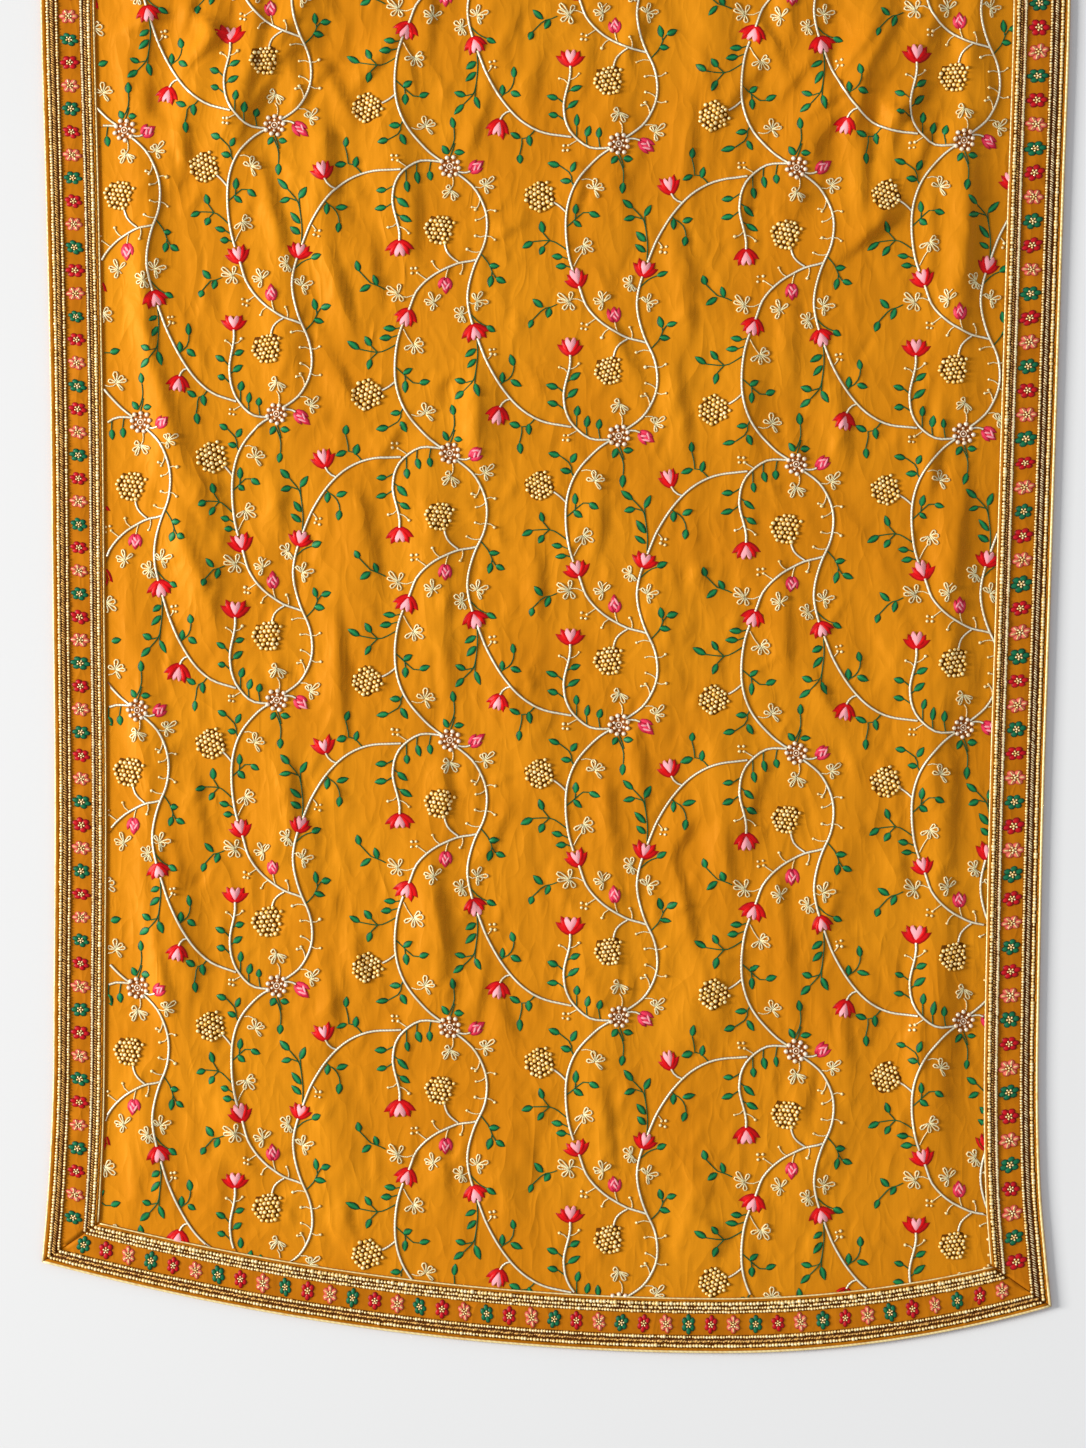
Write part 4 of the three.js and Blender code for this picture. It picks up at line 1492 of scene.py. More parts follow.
# Each leaf: its foot and its tip.
LEAVES = (
    ((-1.5, -10.8), (-6.4, -18.9)), ((3.7, -13.0), (12.9, -13.5)), ((-29.6, 6.7), (-26.9, 17.3)),
    ((-18.5, 5.2), (-17.5, 14.6)), ((-38.5, 16.6), (-37.3, 26.5)), ((-55.5, 26.5), (-65.4, 27.8)),
    ((-46.6, 33.3), (-36.3, 40.5)), ((-55.5, 41.9), (-66.1, 45.4)), ((-44.4, 48.8), (-34.3, 53.7)),
    ((-79.2, 102.8), (-82.1, 94.5)), ((-63.2, 113.2), (-67.0, 104.0)), ((-69.5, 113.5), (-78.7, 121.3)),
    ((35.5, 88.0), (45.4, 87.4)), ((38.0, 96.5), (35.5, 106.8)), ((41.9, 98.7), (51.5, 102.4)),
    ((3.7, 223.7), (2.7, 213.1)), ((33.3, 142.0), (42.6, 146.6)), ((23.7, 162.8), (14.1, 169.0)),
    ((23.7, 171.9), (14.8, 181.6)), ((14.4, 193.7), (4.3, 190.4)), ((12.6, 201.2), (3.1, 209.4)),
    ((22.6, 194.1), (28.4, 205.5)), ((-41.4, 190.0), (-33.3, 184.7)), ((-39.5, 195.6), (-39.4, 206.4)),
    ((-27.4, 197.1), (-17.8, 193.4)), ((-43.4, 224.9), (-53.7, 226.2)), ((-43.6, 232.9), (-38.6, 242.4)),
    ((-54.0, 239.3), (-64.8, 241.9)), ((-47.8, 150.0), (-58.8, 149.4)), ((-51.3, 158.0), (-62.0, 159.5)),
    ((-68.8, 168.2), (-74.4, 159.8)), ((-78.9, 172.2), (-89.8, 167.0)), ((-69.4, 179.6), (-72.9, 189.7)),
    ((48.1, 192.6), (47.8, 182.7)), ((55.5, 190.0), (66.1, 194.3)), ((58.9, 177.6), (57.1, 167.8)),
    ((64.7, 231.4), (54.6, 227.0)), ((72.2, 228.9), (74.3, 239.3)), ((63.9, 245.9), (64.8, 255.7)),
)
GREEN_STEMS = (
    ((0.4, -9.6), (2.7, -15.2), (4.3, -21.2)), ((-29.1, -1.7), (-29.6, 6.7)), ((-17.0, -3.7), (-18.5, 5.2)),
    ((-38.5, 5.7), (-38.5, 16.6)), ((-49.6, 22.5), (-52.5, 25.4), (-55.5, 26.5)), ((-50.3, 30.5), (-46.6, 33.3)),
    ((-50.6, 38.0), (-53.3, 41.0), (-55.5, 41.9)), ((-48.0, 46.9), (-44.4, 48.8)),
    ((-56.7, 116.0), (-63.6, 113.2), (-68.8, 112.3), (-74.7, 106.8), (-79.2, 102.4)),
    ((27.9, 77.2), (35.5, 86.1), (38.5, 93.5), (41.9, 98.7)), ((38.5, 93.5), (38.0, 96.5)),
    ((-1.5, 245.9), (1.9, 240.0), (4.1, 232.6), (3.7, 223.7)), ((17.9, 130.8), (25.9, 138.6), (33.3, 142.0)),
    ((24.7, 155.7), (25.3, 167.5), (23.8, 182.3), (21.2, 191.9), (12.6, 201.2)), ((21.2, 191.9), (14.4, 193.7)),
    ((23.8, 182.3), (22.6, 194.1)), ((-48.2, 184.1), (-39.9, 191.2), (-32.6, 197.1), (-27.4, 197.1)),
    ((-39.9, 191.2), (-39.5, 195.6)), ((-40.8, 220.0), (-43.4, 224.9), (-44.4, 231.9), (-54.0, 239.3)),
    ((-45.6, 155.7), (-51.3, 158.0)), ((-47.0, 163.8), (-55.5, 169.7), (-63.6, 173.0), (-78.9, 172.2)),
    ((-63.6, 173.0), (-68.8, 168.2)), ((-63.6, 173.0), (-69.4, 179.6)),
    ((45.4, 194.9), (48.1, 192.6), (54.0, 189.2), (57.7, 183.8), (58.9, 177.6)),
    ((78.2, 224.4), (71.8, 230.8), (65.5, 232.0), (66.1, 237.0), (63.9, 245.9)), ((-43.0, 148.5), (-47.8, 150.0)),
)
# A tulip's outlines, in millimetres from its foot, y towards its tip: the right-hand halves of its cup and inner
# petals, then that of its heart.
TULIP_CUP = (
    (0.0, -0.6), (3.4, 0.4), (6.8, 2.8), (9.4, 6.0), (11.6, 10.4), (7.4, 9.4), (7.6, 12.4), (7.6, 15.6), (5.0, 14.0),
    (3.0, 12.0), (0.0, 9.5),
)
TULIP_PETAL = ((0.6, 1.6), (4.2, 4.2), (7.2, 8.2), (7.7, 11.8), (6.8, 14.6), (4.8, 13.0), (2.8, 10.0), (1.0, 6.0))
TULIP_HEART = ((0.0, 2.6), (2.2, 5.4), (4.0, 8.6), (4.5, 11.6), (3.7, 14.6), (2.2, 15.4), (0.9, 13.4), (0.0, 10.8))
BUD_SIDE = ((0.2, -0.2), (3.6, 1.2), (5.8, 4.6), (6.2, 8.4), (4.8, 12.0), (3.4, 10.6), (1.8, 6.8), (0.6, 3.0))
BUD_MIDDLE = ((0, 0.6), (2.4, 4.0), (3.5, 8.0), (2.8, 12.0), (0, 15.4), (-2.8, 12.0), (-3.5, 8.0), (-2.4, 4.0))
# A bud's three pale strokes, each from end to end, for a bud one unit long.
BUD_STROKES = (((0.2, -0.14), (0.5, 0.1)), ((0.36, -0.24), (0.8, 0.02)), ((0.34, 0.26), (0.72, 0.0)))
# A looped flower's loops: the turn of each from the flower's heading, in degrees, and its length.
LOBES = ((-100, 6.6), (-46, 8.8), (4, 9.8), (50, 8.6), (104, 6.8))
# A medallion's rings of pearls: how many, how far out they lie by turns, where the first lies, and their radius.
PEARLS = ((9, (8.0, 8.7), 0.0, 2.3), (6, (4.7, 4.7), 0.3, 1.45), (1, (0.0, 0.0), 0.0, 1.2))
# Two outlines that the bead clusters fill, in millimetres about their middles, y towards the stem.
CLUSTERS = (
    ((-9.8, 12.6), (1.0, 11.8), (11.8, 12.2), (12.6, 2.0), (10.0, -9.6), (2.0, -13.2), (-8.0, -10.6), (-13.4, 1.0)),
    ((-10.6, 11.6), (0.5, 13.4), (12.4, 10.4), (13.2, 0.0), (11.2, -11.8), (1.0, -12.4), (-11.6, -10.2),
     (-12.8, 0.6)),
)


@dataclass
class TrellisLie:
    """How the trellis lies on the cloth: its columns, its pitch, and how the weft bows."""

    column_pitch: float = 155.25
    row_pitch: float = 257.85
    first_column: float = -403.5
    columns: int = 6
    first_row: float = -856.2  # the nearest medallion of the first kind of column
    turned_offset: float = 19.35  # how much further along the turned columns' medallions lie
    rows: int = 9
    # Where each column really lies: the folds at the left take up some cloth.
    pattern_x: tuple = (-558.75, -403.5, -248.25, -93.0, 62.25, 217.5, 372.75, 528.0)
    cloth_x: tuple = (-520.0, -373.8, -248.7, -93.0, 59.0, 218.4, 368.7, 520.0)
    # The places along the cloth that the next two tables are for, and how far each column is drawn along there.
    bow_rows: tuple = (-856.2, -598.3, -340.4, -82.6, 400.0)
    bow: tuple = (
        (35.1, 35.1, 17.6, 0.0, -10.4, -21.6, -14.9, -10.0),
        (27.0, 27.0, 16.7, 0.0, -5.9, -11.7, -8.6, -6.0),
        (27.9, 27.9, 15.8, 0.0, -4.0, -9.9, -2.3, 0.0),
        (32.4, 32.4, 18.0, 0.0, 0.5, -1.8, 3.2, 6.0),
        (12.0, 12.0, 6.0, 0.0, 0.0, 2.0, 6.0, 8.0),
    )
    # How far each column is drawn across.
    drawn: tuple = (
        (0.0, 0.0, 0.0, 0.0, 0.0, 0.0, 0.0, 0.0),
        (0.0, 0.0, 0.0, 0.0, 0.0, 0.0, 0.0, 0.0),
        (2.0, 2.8, 0.0, 0.0, 0.0, 0.0, 0.0, 0.0),
        (-10.0, -11.7, -2.0, 0.0, 0.0, 0.0, 0.0, 0.0),
        (-4.0, -4.0, 0.0, 0.0, 0.0, 0.0, 0.0, 0.0),
    )

    def lay(self, places: Points) -> Points:
        """Carry places on the even trellis to where they lie on the cloth.

        Args:
            places: Places on the even trellis, x and y in the last axis.

        Returns:
            The places on the cloth.
        """
        x, y = places[..., 0], places[..., 1]
        knots = np.array(self.pattern_x)
        across = read_curve(x, knots, np.array(self.cloth_x))
        rows = np.array(self.bow_rows)
        j = np.clip(np.searchsorted(rows, y, side="right") - 1, 0, len(rows) - 2)
        t = np.clip((y - rows[j]) / (rows[j + 1] - rows[j]), 0, 1)
        moved = []
        for table in (self.drawn, self.bow):
            curves = np.stack([read_curve(x, knots, np.array(row)) for row in table])
            near, far = (np.take_along_axis(curves, row[None], axis=0)[0] for row in (j, j + 1))
            moved.append(near * (1 - t) + far * t)
        return np.stack([across + moved[0], y + moved[1]], axis=-1)

    def elements(self) -> list[tuple[float, float, float]]:
        """List every element of the trellis.

        Returns:
            Each one's medallion, x and y, and 1, or -1 where the element is turned end for end.
        """
        found = []
        for c in range(self.columns):
            turned = c % 2 == 1
            start = self.first_row + (self.turned_offset - self.row_pitch if turned else 0)
            for r in range(self.rows):
                x = self.first_column + c * self.column_pitch
                found.append((x, start + r * self.row_pitch, -1.0 if turned else 1.0))
        return found


@dataclass
class Trellis:
    """The embroidery on the panel: vines, leaves, tulips, buds, bead diamonds, medallions and curls."""

    form: ClothForm
    lie: ClothLie
    cloths: Cloths
    plan: TrellisLie = field(default_factory=TrellisLie)
    tuck: float = 2.2  # the stitching runs this far under the border's gold line
    outside: float = 12.0  # what starts no further than this outside the open panel is made, and then trimmed
    vine: float = 1.2  # half widths, from here on
    branch: float = 1.0
    thread: float = 0.72
    loop: float = 1.0
    loop_width: tuple[float, float] = (2.2, 0.35)  # half a loop's width, and how much it varies
    loop_stray: tuple[float, float] = (9.0, 0.16)  # how much its turn varies, in degrees, and its length
    loop_hub: float = 4.6  # how far behind a looped flower's middle its loops start
    stem: float = 0.58
    leaf: tuple[float, float] = (6.2, 1.3)  # width and height
    speck: tuple[float, float, float] = (1.65, 1.65, 1.4)  # a small bead's radii
    speck_spread: float = 0.1  # how much their sizes vary
    cluster_pitch: float = 4.15
    cluster_jitter: float = 0.38
    cluster_margin: float = 0.35  # how far inside its outline a cluster's outermost beads are centred
    cluster_beads: tuple[float, float] = (1.75, 2.35)  # the smallest and the largest radius
    thread_ring: float = 2.6  # radius of the thread round a medallion's middle
    scallop: tuple[float, float] = (8.9, 0.5)  # radius of the copper patch of painted shade under a medallion's pearls, and how deep its scallops are
    seed: int = 21

    def __post_init__(self) -> None:
        """Start the random draws and list the elements."""
        self.rng = np.random.default_rng(self.seed)
        self.elements = self.plan.elements()

    def spread(self, chart: tuple) -> Points:
        """Carry charted points to the cloth for every element.

        Args:
            chart: Points of one element, x and y in each.

        Returns:
            An array with one row for each element, holding the chart's points on the cloth.
        """
        points = np.array(chart, dtype=float).reshape(-1, 2)
        centres = np.array([(x, y) for x, y, _ in self.elements])
        signs = np.array([s for _, _, s in self.elements])
        placed = centres[:, None, :] + np.stack(
            [np.broadcast_to(points[:, 0], (len(signs), len(points))), -signs[:, None] * points[:, 1]], axis=-1
        )
        return self.plan.lay(placed)

    def trim(self, solid: Solid) -> Solid:
        """Cut away what would lie under the border.

        Args:
            solid: Stitching laid flat.

        Returns:
            The stitching that shows, and a narrow margin.
        """
        kept = self.form.inside_border(solid.points[:, :2]) > -self.tuck
        faces = solid.faces[kept[solid.faces].all(axis=1)]
        used = np.zeros(len(solid.points), dtype=bool)
        used[faces] = True
        number = np.cumsum(used) - 1
        return Solid(solid.points[used], number[faces], solid.tone[used])

    def near_panel(self, places: Points) -> np.ndarray:
        """Tell which places lie on the open panel or just outside it."""
        return self.form.inside_border(places) > -self.outside

    def sew(self, name: str, parts: list[Solid], material: bpy.types.Material, slot: str) -> bpy.types.Object:
        """Trim stitching at the border, drape it and make it a piece.

        Args:
            name: The piece's name.
            parts: Its stitching, laid flat.
            material: Its finish.
            slot: The material slot's name, handed on to report_piece.

        Returns:
            The piece.
        """
        solid = self.lie.drape(self.trim(Solid.joined(parts)))
        return report_piece(make_object(name, solid, material), slot)

    def cords(self, charts: tuple, radius: float, step: float, section: tuple, foot: float) -> list[Solid]:
        """Lay a cord along each charted path in every element.

        Args:
            charts: The paths.
            radius: Half the cord's width.
            step: The distance between the cord's stations.
            section: The cord's section.
            foot: The height of its underside over the cloth.

        Returns:
            The cords.
        """
        cords = []
        for chart in charts:
            for path in self.spread(chart):
                if self.near_panel(path).any():
                    cord = laid_cord(smooth_path(path, step), radius, section)
                    cord.points[:, 2] += foot
                    cords.append(cord)
        return cords

    def between(self, shape: Solid, chart: tuple, size: tuple, foot: float, tilt: float = 0.08) -> Solid:
        """Put a shape on every charted pair of foot and tip.

        Args:
            shape: The shape, one unit long along X from its foot.
            chart: Pairs of foot and tip.
            size: The shape's width and height; its length is that of the pair.
            foot: The height of its underside over the cloth.
            tilt: How much each one's direction varies, in radians.

        Returns:
            All the shapes.
        """
        ends = self.spread(chart).reshape(-1, 2, 2)
        ends = ends[self.near_panel(ends[:, 0])]
        ahead = ends[:, 1] - ends[:, 0]
        count = len(ahead)
        turns = np.arctan2(ahead[:, 1], ahead[:, 0]) + self.rng.normal(0, tilt, count)
        spread = self.rng.normal(1, 0.06, (count, 3))
        sizes = np.column_stack([np.linalg.norm(ahead, axis=1), np.tile(size, (count, 1))]) * spread
        return copies(shape, ends[:, 0], turns, sizes, foot)

    def scatter(self, shape: Solid, chart: tuple, size: tuple, foot: float) -> Solid:
        """Put a bead on every charted point, each a little different.

        Args:
            shape: The bead.
            chart: The points.
            size: The bead's length, width and height.
            foot: The height of its underside over the cloth.

        Returns:
            All the beads.
        """
        places = self.spread(chart).reshape(-1, 2)
        places = places[self.near_panel(places)]
        count = len(places)
        places = places + self.rng.normal(0, 0.15, (count, 2))
        sizes = np.array(size)[None] * self.rng.normal(1, self.speck_spread, (count, 1))
        return copies(shape, places, self.rng.uniform(0, 2 * np.pi, count), sizes, foot)

    def groups(self, shape: Solid, middles: list[tuple[tuple[float, float], float]], jitter: float) -> list[Solid]:
        """Put a whole group at each charted middle, turned with its element.

        Args:
            shape: The group, about the origin.
            middles: Each middle and its turn in degrees, seen with y down the cloth.
            jitter: How much the turn varies, in radians.

        Returns:
            The groups.
        """
        parts = []
        for middle, degrees in middles:
            places = self.spread((middle,))[:, 0]
            for place, (_, _, sign) in zip(places, self.elements):
                if self.near_panel(place):
                    turn = -sign * math.radians(degrees) + self.rng.normal(0, jitter)
                    parts.append(shape.at(*place, turn, self.rng.normal(1, 0.03)))
        return parts

    def leaf_shape(self) -> Solid:
        """Make a leaf one unit long, pointed at its tip and ridged down its middle."""
        stations = (0.06, 0.24, 0.48, 0.72, 0.9)
        widths = (0.17, 0.42, 0.5, 0.38, 0.17)
        points = [(0.0, 0.0, 0.0)]
        for t, w in zip(stations, widths):
            points += [(t, -w, 0.0), (t, 0.0, 0.5 + w), (t, w, 0.0)]
        points.append((1.0, 0.0, 0.0))
        faces = [(0, 1, 2), (0, 2, 3)]
        for i in range(len(stations) - 1):
            a, b = 1 + 3 * i, 4 + 3 * i
            faces += [(a, b, b + 1), (a, b + 1, a + 1), (a + 1, b + 1, b + 2), (a + 1, b + 2, a + 2)]
        last = len(points) - 1
        faces += [(last - 3, last, last - 2), (last - 2, last, last - 1)]
        tone = np.array([0.0] + [0.0, 1.0, 0.0] * len(stations) + [0.0])
        return Solid(np.array(points), np.array(faces), tone)

    def build_vines(self) -> list[bpy.types.Object]:
        """Couch the ivory cords and the finer threads that leave them.

        Returns:
            The vine cords and the fine threads.
        """
        cloths = self.cloths
        cords = self.cords(VINES, self.vine, 6.0, CORD_SECTION, 0.1)
        cords += self.cords(CORD_STEMS, self.branch, 4.0, CORD_SECTION, 0.1)
        vines = self.sew("vine_cords", cords, cloths.cord, "gold_cord")
        threads = [self.bent(bead, foot) for bead, foot in CURLS] + [stem for _, stem in DOTS]
        threads += [stem for _, stem in LOOPED_FLOWERS] + [((-1.5, 92.0), (-3.0, 96.5), (-3.7, 100.5))]
        laid = self.cords(tuple(threads), self.thread, 4.0, THREAD_SECTION, 0.1)
        laid += self.loops()
        fine = self.sew("fine_thread_flowers", laid, cloths.gold_thread, "gold_cord")
        return [vines, fine]

    @staticmethod
    def bent(start: tuple[float, float], end: tuple[float, float]) -> tuple:
        """Put a point beside the middle of a short thread, so that it curls."""
        (x0, y0), (x1, y1) = start, end
        return start, ((x0 + x1) / 2 - 0.13 * (y1 - y0), (y0 + y1) / 2 + 0.13 * (x1 - x0)), end

    def loops(self) -> list[Solid]:
        """Make the looped flowers: five drawn-out loops of thread, fanned from the end of the stem.

        Returns:
            The flowers.
        """
        around = np.arange(9) * 2 * np.pi / 9 + np.pi
        flowers = []
        for middle, stem in LOOPED_FLOWERS:
            away = np.array(middle) - np.array(stem[-2])
            heading = math.atan2(-away[1], away[0])
            parts = []
            for lobe, reach in LOBES:
                angle = heading + math.radians(lobe + self.rng.normal(0, self.loop_stray[0]))
                width = self.loop_width[0] + self.loop_width[1] * self.rng.normal()
                far = reach * self.rng.normal(1, self.loop_stray[1])
                along = 0.5 * far * (1 + np.cos(around)) + 0.6
                across = width * np.sin(around) * (0.1 + 0.9 * (along / far) ** 1.5)
                c, s = math.cos(angle), math.sin(angle)
                hub = -self.loop_hub * np.array([math.cos(heading), math.sin(heading)])
                loop = hub + np.column_stack([c * along - s * across, s * along + c * across])
                parts.append(laid_cord(loop, self.loop, THREAD_SECTION, closed=True))
            flowers += self.groups(Solid.joined(parts), [(middle, 0.0)], 0.12)
        return flowers

    def build_leaves(self) -> list[bpy.types.Object]:
        """Stitch the leaves and their stems.

        Returns:
            The leaves and the stems.
        """
        leaves = self.between(self.leaf_shape(), LEAVES, self.leaf, 0.15)
        stems = self.cords(GREEN_STEMS, self.stem, 5.0, THREAD_SECTION, 0.05)
        return [
            self.sew("leaves", [leaves], self.cloths.green, "green_thread"),
            self.sew("leaf_stems", stems, self.cloths.stem_green, "green_thread"),
        ]

    def build_flowers(self) -> list[bpy.types.Object]:
        """Stitch the tulips and buds.

        Returns:
            The red, pink and rose pieces.
        """
        unit = 15.8  # the length that the tulip's outlines are drawn at

        def turned(outline: tuple, mirror: float = 1.0) -> Points:
            """Lay an outline along X, one unit long, counter-clockwise."""
            points = np.array([(y / unit, -mirror * x / unit) for x, y in outline])
            return points if mirror > 0 else points[::-1]

        def petals(outline: tuple, lift: float = 0.0) -> Solid:
            """Make a right-hand petal and its mirror image."""
            return Solid.joined([dome(turned(outline, m), 1.0, 0.6).at(0, 0, lift=lift) for m in (1.0, -1.0)])

        def whole(half: tuple) -> Points:
            """Close a right-hand half with its mirror image."""
            return turned(half + tuple((-x, y) for x, y in half[-2:0:-1]))

        wings = Solid.joined([dome(whole(TULIP_CUP), 0.9, 0.78, 0.85), petals(TULIP_PETAL, 0.35)])
        heart = dome(whole(TULIP_HEART), 1.0, 0.76, 0.85)
        red, pink = [], []
        for tulip, width in zip(TULIPS, TULIP_WIDTHS):
            red.append(self.between(wings, (tulip,), (width, 1.3), 0.15, 0.0))
            pink.append(self.between(heart, (tulip,), (width, 1.2), 1.0, 0.0))
        rose = [self.between(petals(BUD_SIDE), BUDS, (15.6, 1.2), 0.15, 0.04)]
        rose.append(self.between(dome(turned(BUD_MIDDLE), 1.0, 0.6), BUDS, (15.6, 1.3), 0.4, 0.04))
        bars = []
        for start, end in BUD_STROKES:
            ahead = np.subtract(end, start)
            stroke = bar_shape()
            stroke.points[:, 0] *= float(np.hypot(*ahead))
            stroke.points[:, 1] *= 0.12
            middle = np.add(start, end) / 2
            bars.append(stroke.at(*middle, math.atan2(ahead[1], ahead[0])))
        pink.append(self.between(Solid.joined(bars), BUDS, (15.0, 0.6), 1.45, 0.0))
        cloths = self.cloths
        return [
            self.sew("tulip_petals", red, cloths.red, "red_thread"),
            self.sew("tulip_hearts", pink, cloths.pink, "pink_thread"),
            self.sew("rose_buds", rose, cloths.rose, "red_thread"),
        ]

    def cluster(self, outline: tuple) -> tuple[Solid, Solid]:
        """Pack an outline with beads in uneven rows.

        Args:
            outline: The cluster's outline, about its middle, clockwise.

        Returns:
            The beads, and a dark patch under them, painted shade in their gaps.
        """
        rng = np.random.default_rng(self.seed)
        corners = np.array(outline, dtype=float)
        rim = smooth_path(np.vstack([corners, corners[:1]]), 3.8)[:-1]
        edge = np.roll(rim, -1, axis=0) - rim
        normal = np.column_stack([-edge[:, 1], edge[:, 0]]) / np.linalg.norm(edge, axis=1)[:, None]
        pitch, places = self.cluster_pitch, []
        for j in range(-5, 6):
            for i in range(-5, 6):
                place = np.array([(i + 0.5 * (j % 2)) * pitch, j * pitch * 0.9])
                place = place + rng.normal(0, self.cluster_jitter, 2)
                depth = -((place - rim) * normal).sum(axis=1)
                if depth.min() > self.cluster_margin:
                    places.append(place)
        bead = bead_shape(8)
        beads = [bead.at(*place, rng.uniform(0, 1), rng.uniform(*self.cluster_beads), 0.3) for place in places]
        # painted shade: a dark patch that darkens the gaps between the beads
        ground = dome(rim[::-1] * 0.88, 0.45, 0.8, 0.9)
        return Solid.joined(beads), ground

    def medallion(self) -> tuple[Solid, Solid, Solid]:
        """Make one medallion: rings of pearls, and a ring of pale thread round the middle one.

        Returns:
            The pearls, the thread, and a copper patch under them that paints the shade between the pearls.
        """
        bead = bead_shape(6)
        pearls = []
        for count, reaches, offset, size in PEARLS:
            for k in range(count):
                angle, reach = 2 * math.pi * (k + offset) / count, reaches[k % 2]
                pearls.append(bead.at(reach * math.cos(angle), reach * math.sin(angle), angle, size, 0.3))
        turns = 2 * np.pi * np.arange(10) / 10
        circle = np.column_stack([np.cos(turns), np.sin(turns)])
        ring = laid_cord(self.thread_ring * circle, 0.6, THREAD_SECTION, closed=True)
        ring.points[:, 2] += 0.45
        turns = 2 * np.pi * np.arange(18) / 18
        scallop = self.scallop[0] + self.scallop[1] * np.cos(9 * turns)
        # painted shade: a scalloped copper patch that darkens the gaps between the pearls
        shade_backing = dome(np.column_stack([np.cos(turns), np.sin(turns)]) * scallop[:, None], 0.4, 0.85, 0.9)
        return Solid.joined(pearls), ring, shade_backing

    def build_beadwork(self) -> list[bpy.types.Object]:
        """Sew the bead clusters, medallions and small beads.

        Returns:
            The beads, pearls, and the patches of painted shade under them.
        """
        clusters, shade_patches = [], []
        for spot, outline in zip(DIAMONDS, CLUSTERS):
            beads, ground = self.cluster(outline)
            clusters += self.groups(beads, [spot], 0.06)
            shade_patches += self.groups(ground, [spot], 0.0)
        pearls, ring, back = self.medallion()
        centre = [((0.0, 0.0), 0.0)]
        medallions = self.groups(Solid.joined([pearls, ring]), centre, 0.3)
        copper = self.groups(back, centre, 0.0)
        dots, curls = tuple(dot for cluster, _ in DOTS for dot in cluster), tuple(bead for bead, _ in CURLS)
        specks = [self.scatter(bead_shape(5), chart, self.speck, 0.1) for chart in (dots, curls)]
        cloths = self.cloths
        return [
            self.sew("bead_clusters", clusters, cloths.bead, "gold_bead"),
            self.sew("bead_cluster_grounds", shade_patches, cloths.shade_backing, "braid"),
            self.sew("bead_medallions", medallions, cloths.pearl, "rose_bead"),
            self.sew("medallion_grounds", copper, cloths.copper, "rose_bead"),
            self.sew("small_beads", specks, cloths.border_bead, "gold_bead"),
        ]

    def dress(self) -> list[bpy.types.Object]:
        """Work the whole trellis.

        Returns:
            Its pieces.
        """
        return self.build_vines() + self.build_leaves() + self.build_flowers() + self.build_beadwork()


# ---- The studio


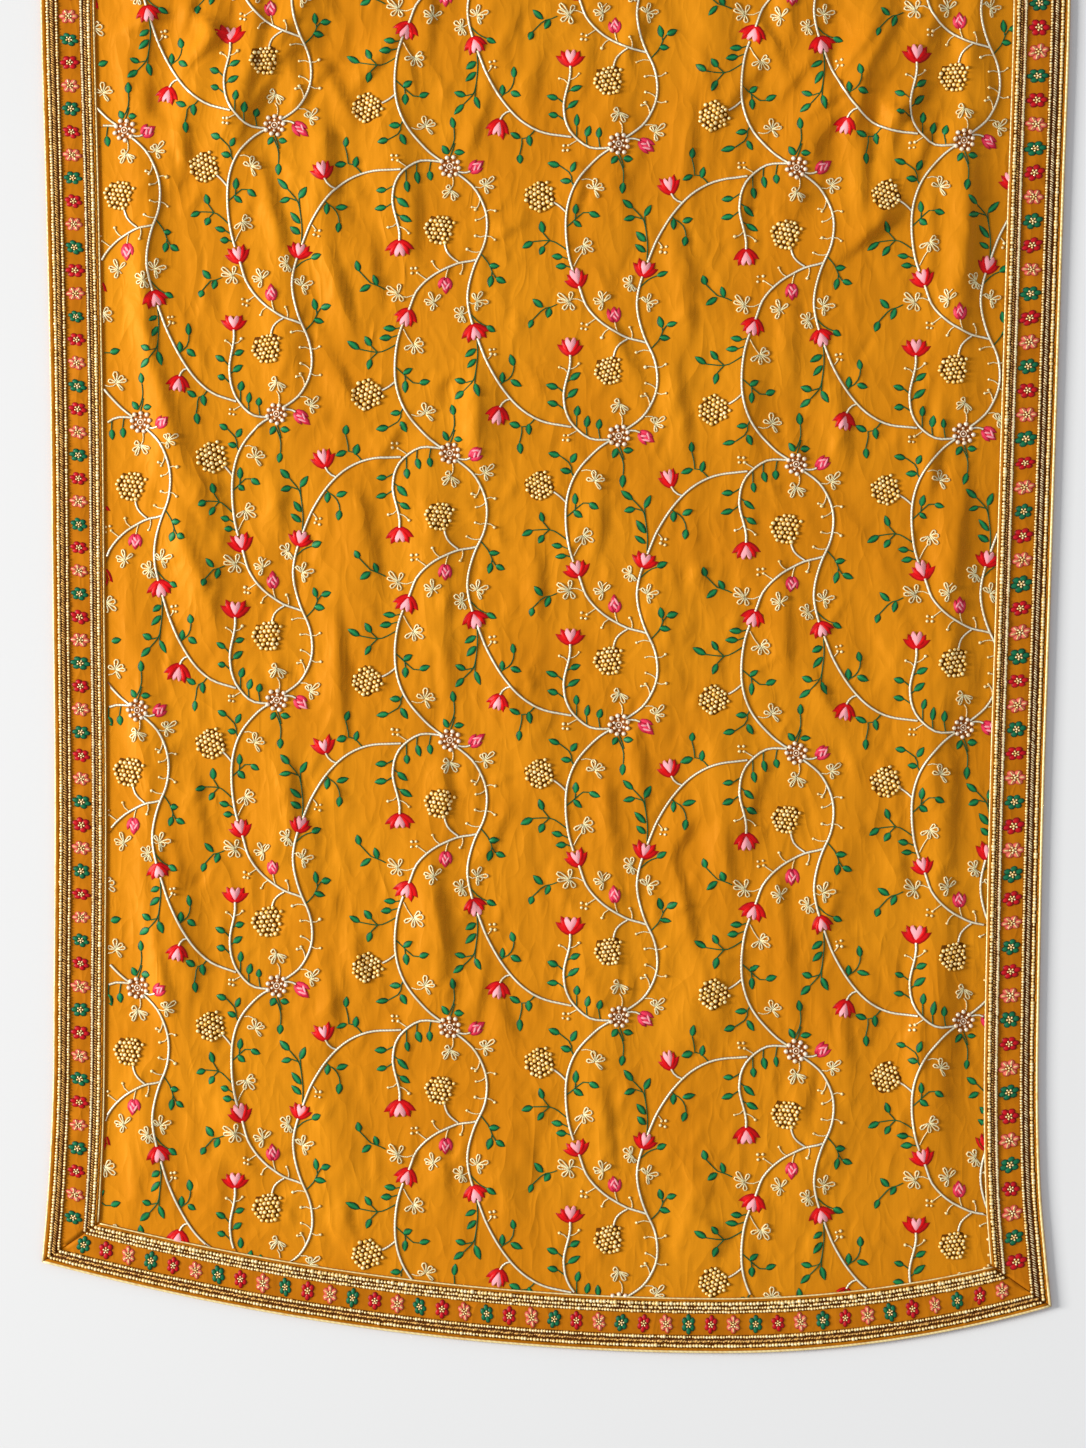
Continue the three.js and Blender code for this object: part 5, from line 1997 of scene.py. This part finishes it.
@dataclass
class Studio:
    """A pale surface, soft light from the upper left, and the camera straight above the near half."""

    view_middle: tuple[float, float] = (-9.3, -583.9)
    view_height: float = 1303.2  # how much cloth the picture's height shows
    camera_distance: float = 3000.0
    sensor: float = 36.0
    window_place: tuple[float, float, float] = (-4.3, -0.4, 2.15)  # metres, like the rest of the window
    window_aim: tuple[float, float, float] = (0.1, -0.7, 0.0)
    window_size: tuple[float, float] = (1.35, 1.85)
    window_energy: float = 320.0
    room_strength: float = 0.45
    board_half: float = 4000.0  # half the board's width, in millimetres again
    board_top: float = -0.4  # a little under the cloth, so that the two don't touch

    def build_camera(self) -> bpy.types.Object:
        """Make the camera, looking straight down.

        Returns:
            The camera.
        """
        data = bpy.data.cameras.new("camera")
        data.sensor_width = self.sensor
        data.lens = self.sensor * self.camera_distance / self.view_height
        camera = bpy.data.objects.new("camera", data)
        camera.location = (self.view_middle[0] * MM, self.view_middle[1] * MM, self.camera_distance * MM)
        bpy.context.scene.collection.objects.link(camera)
        bpy.context.scene.camera = camera
        return camera

    def build_surface(self) -> bpy.types.Object:
        """Make the surface that the cloth lies on.

        Returns:
            The surface.
        """
        half, top = self.board_half, self.board_top
        corners = [(-half, -half, top), (half, -half, top), (half, half, top), (-half, half, top)]
        solid = Solid(np.array(corners), np.array([(0, 1, 2), (0, 2, 3)]), np.ones(4))
        # the board is painted darker at the left as shade against the window's stronger light
        surface = make_object("surface", solid, PaleSurface("matte white board", "#DEDFE1", "#F3F4F6").material())
        return surface

    def build_light(self) -> None:
        """Light the cloth with one broad window at the upper left and an even room."""
        scene = bpy.context.scene
        window = bpy.data.lights.new("window", "AREA")
        window.shape = "RECTANGLE"
        window.size, window.size_y = self.window_size
        window.energy = self.window_energy
        window.color = linear("#FFFDF8")[:3]
        lamp = bpy.data.objects.new("window", window)
        lamp.location = self.window_place
        aim = np.array(self.window_aim) - np.array(lamp.location)
        yaw, tilt = math.atan2(aim[1], aim[0]), math.acos(-aim[2] / np.linalg.norm(aim))
        lamp.rotation_euler = (tilt, 0.0, yaw - math.pi / 2)
        scene.collection.objects.link(lamp)
        world = bpy.data.worlds.new("room")
        world.use_nodes = True
        world.node_tree.nodes.clear()
        settings = {"Color": linear("#FCFDFF"), "Strength": self.room_strength}
        room = add_node(world.node_tree, "Background", settings)
        add_node(world.node_tree, "OutputWorld", {}, {"Surface": room.outputs[0]})
        scene.world = world
        scene.view_settings.view_transform = "Standard"


def main() -> None:
    """Build the camera, the cloth, its border and its embroidery, then the surface and the light."""
    logging.basicConfig(level=logging.INFO, format="%(name)s: %(message)s")
    studio = Studio()
    studio.build_camera()
    cloths = Cloths()
    form = ClothForm()
    lie = ClothLie(form)
    MainPanel(form, lie, cloths).dress()
    strips = [
        BorderStrip(Side.LEFT, form, cloths, LEFT_PLAN, 20.7, 854.1, 0, -1, 31),
        BorderStrip(Side.RIGHT, form, cloths, RIGHT_PLAN, 21.68, 915.2, 0, -1, 37),
        BorderStrip(Side.NEAR, form, cloths, HEM_PLAN, 20.5, 548.8, 1, 1, 41),
        BorderStrip(Side.FAR, form, cloths, HEM_PLAN, 20.7, 470.0, 0, 1, 43),
    ]
    for strip in strips:
        strip.build_band()
        strip.build_braids()
        strip.build_edges()
    BorderFlowers(strips, cloths).dress()
    Trellis(form, lie, cloths).dress()
    studio.build_surface()
    studio.build_light()


if __name__ == "__main__":
    main()
